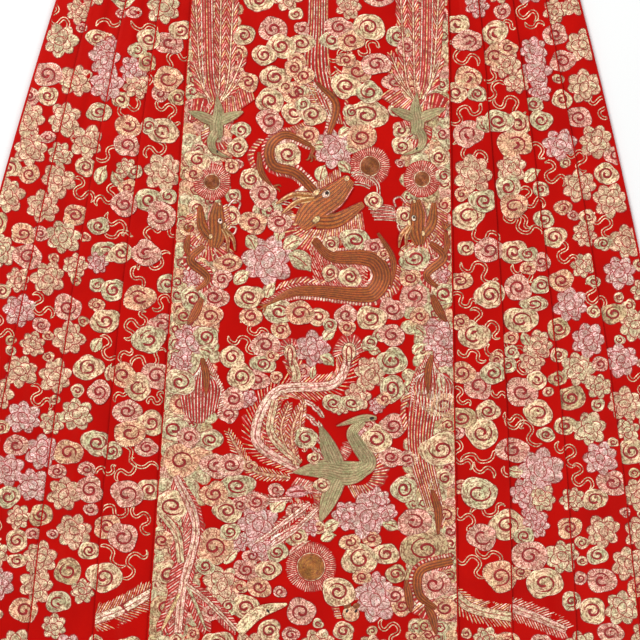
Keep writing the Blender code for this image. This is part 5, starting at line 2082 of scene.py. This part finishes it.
panel, bands = needles["front"], needles["bands"]
bands.fine = False
band_ground(bands, -1)
band_ground(bands, 1)
bands.fine = True
wise = 1
for number, row in enumerate(CLOUDS):
    c = dict(zip(CLOUD_COLUMNS, row))
    wise = -wise if rng.random() < 0.7 else wise
    turn, base = rng.uniform(0, 360), 0.25 + 0.3 * (number % 3)
    grown = c["radius"] * CLOUD_GROWTH
    worked(needles, c["u"], c["v"], c["radius"] * 0.8,
           lambda n: cloud(n, c["u"], c["v"], grown, c["thread"], turn, wise, c["long"], base))
for row in RIBBONS:
    r = dict(zip(RIBBON_COLUMNS, row))
    swing = r["swing"] * (1 if rng.random() < 0.5 else -1)
    worked(needles, (r["u0"] + r["u1"]) / 2, (r["v0"] + r["v1"]) / 2, abs(r["u1"] - r["u0"]) / 2,
           lambda n: ribbon(n, r["u0"], r["v0"], r["u1"], r["v1"], r["waves"], swing))
for row in PEONIES:
    p = dict(zip(PEONY_COLUMNS, row))
    worked(needles, p["u"], p["v"], p["radius"] * 0.8,
           lambda n: peony(n, p["u"], p["v"], p["radius"], p["thread"], p["turn"], 0.45))
for row in LEAVES:
    p = dict(zip(LEAF_COLUMNS, row))
    worked(needles, p["u"], p["v"], p["width"] * 0.5,
           lambda n: leaf(n, p["u"], p["v"], p["length"], p["width"], p["angle"], p["thread"], 0.35))
panel.region = 0
bands.raised = 0.5
side_band(bands, False)
side_band(bands, True)
lower_left_band(bands)
lower_right_band(bands)
top_column(panel)
small_dragon(panel)
big_dragon(panel)
big_phoenix(panel)
fireball(panel, 370, 166, 9.6, 20)
fireball(panel, 311, 567, 13.5, 25, "bright_disc")
small_beasts(panel)
needles["left"].region, needles["right"].region = -1, 1
feather_bands(needles["left"], needles["right"])

ground = Ground()
for n in needles.values():
    ground.mark(n)
fill_ground(needles, ground)
fill_ground(backs, Ground(), False)

BACK_RELIEF = 0.3
for side, n in needles.items():
    n.piece(f"couching_{side}", front_top)
for side, n in backs.items():
    n.piece(f"couching_back_{side}", back_bottom, -1, BACK_RELIEF)

# The floor, the lights and the camera

FLOOR_SIZE, FLOOR_DOWN = 8.0, 0.0006
bpy.ops.mesh.primitive_plane_add(size=FLOOR_SIZE, location=(0, 0, -FLOOR_DOWN))
floor = bpy.context.object
floor.name = "pale_table"
floor.data.materials.append(floor_material())


def area_light(name, place, size, power):
    """A round soft light that faces the skirt's middle."""
    light = bpy.data.lights.new(name, "AREA")
    light.shape = "DISK"
    light.size = size
    light.energy = power
    obj = bpy.data.objects.new(name, light)
    obj.location = place
    way = -np.array(place, float)
    flat = math.hypot(way[0], way[1])
    obj.rotation_euler = (math.atan2(flat, -way[2]), 0, math.atan2(way[0], -way[1]) + math.pi)
    bpy.context.scene.collection.objects.link(obj)


LIGHT_COLUMNS = ("name", "place", "size", "power")
LIGHTS = (
    ("key", (-1.5, 1.5, 2.3), 1.4, 56),
    ("fill", (1.7, -1.2, 2.4), 2.4, 33),
)
for row in LIGHTS:
    area_light(**dict(zip(LIGHT_COLUMNS, row)))

ROOM_COLOUR, ROOM_STRENGTH = (0.98, 0.99, 1.0, 1), 0.5
world = bpy.data.worlds.new("studio")
bpy.context.scene.world = world
world.use_nodes = True
room = world.node_tree.nodes["Background"]
room.inputs["Color"].default_value = ROOM_COLOUR
room.inputs["Strength"].default_value = ROOM_STRENGTH

# The picture's plane for the camera, above the floor
FOCUS_HEIGHT = 0.007
centre_x, centre_y = plan(PICTURE / 2, PICTURE / 2)
camera_data = bpy.data.cameras.new("camera")
camera_data.lens = LENS
camera_data.sensor_width = SENSOR
camera_data.clip_end = 20
camera = bpy.data.objects.new("camera", camera_data)
camera.location = (centre_x * MM, centre_y * MM, PICTURE * MM * LENS / SENSOR + FOCUS_HEIGHT)
camera.rotation_euler = (0, 0, PICTURE_TURN)
bpy.context.scene.collection.objects.link(camera)
bpy.context.scene.camera = camera
bpy.context.scene.view_settings.view_transform = "Standard"
